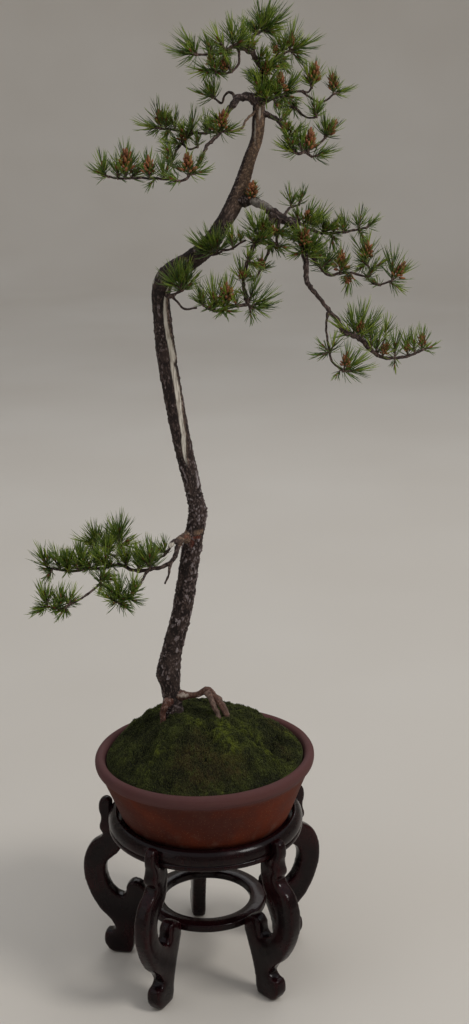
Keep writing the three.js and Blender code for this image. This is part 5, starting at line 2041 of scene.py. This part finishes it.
@dataclass
class Studio:
    """A plain pale sweep, soft light and the camera of the photograph, in metres."""

    focal_pixels: float = 1500.0
    image_height: int = 1024
    sensor: float = 36.0
    distance: float = 1.885
    height: float = 1.208
    pitch: float = 16.1
    yaw: float = 1.32
    roll: float = -0.45
    floor_radius: float = 7.0
    floor_bend: float = 2.5
    sweep_top: float = 7.0
    paper: tuple[str, str] = ("d2cbc1", "d8d2c9")
    aim: float = 0.62
    sky: tuple[float, float, float, float] = (0.92, 0.95, 1.0, 1.0)
    sky_strength: float = 0.58

    def build(self) -> None:
        """Makes the sweep, the lights, the sky and the camera."""
        self.build_sweep()
        self.light("key_light", (2.3, -1.5, 3.0), 1.1, 52.0, (1.0, 0.98, 0.95))
        self.light("fill_light", (-2.6, -1.8, 1.5), 2.2, 6.0, (0.9, 0.94, 1.0))
        self.light("back_light", (0.4, 2.8, 2.8), 1.8, 14.0, (1.0, 1.0, 1.0))
        world = bpy.data.worlds.new("studio")
        world.use_nodes = True
        background = world.node_tree.nodes["Background"]
        background.inputs["Color"].default_value = self.sky
        background.inputs["Strength"].default_value = self.sky_strength
        bpy.context.scene.world = world
        bpy.context.scene.view_settings.view_transform = "Standard"
        self.build_camera()

    def build_sweep(self) -> None:
        """Spins a wide pale bowl with a flat middle, so that every view has the same plain ground."""
        flat, bend = self.floor_radius, self.floor_bend
        turns = [math.pi / 24 * step for step in range(1, 13)]
        curve = [(flat + bend * math.sin(turn), bend - bend * math.cos(turn)) for turn in turns]
        profile = [(0.0, 0.0), (flat, 0.0), *curve, (flat + bend, self.sweep_top)]
        mesh = as_template(turned(profile, 96), "studio_sweep")
        mesh.shade_smooth()
        paint = Paint("sweep_paper")
        tint = paint.over(*self.paper, paint.noise(900.0, 2.0), 0.3, 0.7)
        mesh.materials.append(paint.finish(Base_Color=tint, Roughness=0.9, Specular_IOR_Level=0.2))
        add_object("studio_sweep", mesh)

    def light(self, name: str, place: Triple, size: float, power: float, tint: Triple) -> None:
        """Hangs one soft square light that faces the middle of the tree.

        Args:
            name: The light's name.
            place: Where it hangs.
            size: The length of its sides.
            power: Its power in watts.
            tint: Its linear colour.
        """
        lamp = bpy.data.lights.new(name, "AREA")
        lamp.size = size
        lamp.energy = power
        lamp.color = tint
        hung = add_object(name, lamp)
        hung.location = place
        facing = Vector((0, 0, self.aim)) - Vector(place)
        hung.rotation_euler = facing.to_track_quat("-Z", "Y").to_euler()

    def build_camera(self) -> None:
        """Sets the camera at the photograph's place, angle and lens."""
        pitch, yaw, roll = (math.radians(value) for value in (self.pitch, self.yaw, self.roll))
        level = Vector((math.cos(yaw), -math.sin(yaw), 0.0))
        ahead = Vector((math.sin(yaw), math.cos(yaw), 0.0))
        forward = Vector((ahead.x * math.cos(pitch), ahead.y * math.cos(pitch), -math.sin(pitch)))
        over = level.cross(forward)
        right = level * math.cos(roll) + over * math.sin(roll)
        above = over * math.cos(roll) - level * math.sin(roll)
        lens = bpy.data.cameras.new("camera")
        lens.sensor_width = self.sensor
        lens.lens = self.focal_pixels / self.image_height * self.sensor
        camera = add_object("camera", lens)
        turn = Matrix((right, above, -forward)).transposed().to_4x4()
        camera.matrix_world = Matrix.Translation(AXIS + Vector((0, -self.distance, self.height))) @ turn
        bpy.context.scene.camera = camera


TRUNK_SCARS = (
    Scar(ScarKind.HEART, (-5, -16, 634), (9, 9, 2.6), -0.5, 0.8),
    Scar(ScarKind.HEART, (-14, -14, 627), (5, 8, 7), 0.0, 0.5),
    Scar(ScarKind.WORN, (-3, -17, 641), (10, 8, 4.0), 0.5),
    Scar(ScarKind.WORN, (-20, -9, 637), (8, 9, 5), 0.4),
    Scar(ScarKind.BARE, (-28, 0, 405), (8, 9, 4), 1.2, 0.8),
    Scar(ScarKind.BARE, (-57, 6, 964), (3, 4, 4), 0.8),
    Scar(ScarKind.BARE, (72, -2, 1150), (1.5, 5, 18), 0.0, 0.4),
    Scar(ScarKind.BARE, (78, -2, 1168), (1.8, 5, 9), 0.0, 0.4),
    Scar(ScarKind.KNOB, (-60, 8, 432), (9, 9, 9), 3.0),
    Scar(ScarKind.KNOB, (-34, -2, 430), (8, 8, 8), 2.5),
    Scar(ScarKind.KNOB, (6, -12, 668), (7, 7, 7), 2.2),
    Scar(ScarKind.KNOB, (-2, -14, 652), (6, 6, 6), 1.4),
    Scar(ScarKind.KNOB, (2, -6, 615), (5, 8, 4), 1.4),
    Scar(ScarKind.KNOB, (-22, -8, 560), (7, 7, 7), 1.4),
    Scar(ScarKind.KNOB, (2, 1, 416), (6, 6, 5), 1.6),
)


BRANCH_SCARS = {
    "lower_left_branch": (
        Scar(ScarKind.WORN, (-24, -18, 633), (13, 16, 9), 0.0, 0.6),
        Scar(ScarKind.HEART, (-20, -16, 636), (6, 8, 3), 0.0, 0.5),
        Scar(ScarKind.HEART, (-27, -22, 628), (5, 6, 4), 0.0, 0.5),
        Scar(ScarKind.BARE, (-40, -40, 632), (6, 8, 4.5), 0.2, 0.9),
    ),
    "right_main_branch": (Scar(ScarKind.BARE, (80, -26, 1062), (24, 12, 8), 0.0, 0.25),),
}


def dress_kept_nodes() -> None:
    """Gives the CAD nodes that stay in view their finishes."""
    kept = {"soil": Ground(), "drain_screen": ScreenPlastic(), "screen_wire": WireMetal()}
    for node, finish in kept.items():
        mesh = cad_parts[node].data
        mesh.materials.clear()
        mesh.materials.append(finish.material())
        LOG.info("%s: dressed", node)


def main() -> None:
    logging.basicConfig(level=logging.INFO, format="%(message)s")
    # Without a seed the noise vectors would differ from run to run.
    noise.seed_set(NOISE_SEED)
    bark = Bark().material()
    green = NeedleGreen().material()
    brown = ConeBrown().material()
    pot = Pot()
    Stand().build(Lacquer().material())
    pot.build(Terracotta().material())
    MossMound(pot).build(MossGreen().material())
    dress_kept_nodes()
    Trunk("trunk", TREE["trunk"], TRUNK_SCARS).build(bark)
    for name, twigs in TREE.items():
        if name != "trunk":
            Wood(name, twigs, BRANCH_SCARS.get(name, ())).build(bark)
    Foliage().build(green, bark, brown)
    ConeClusters().build(brown)
    Studio().build()


if __name__ == "__main__":
    main()
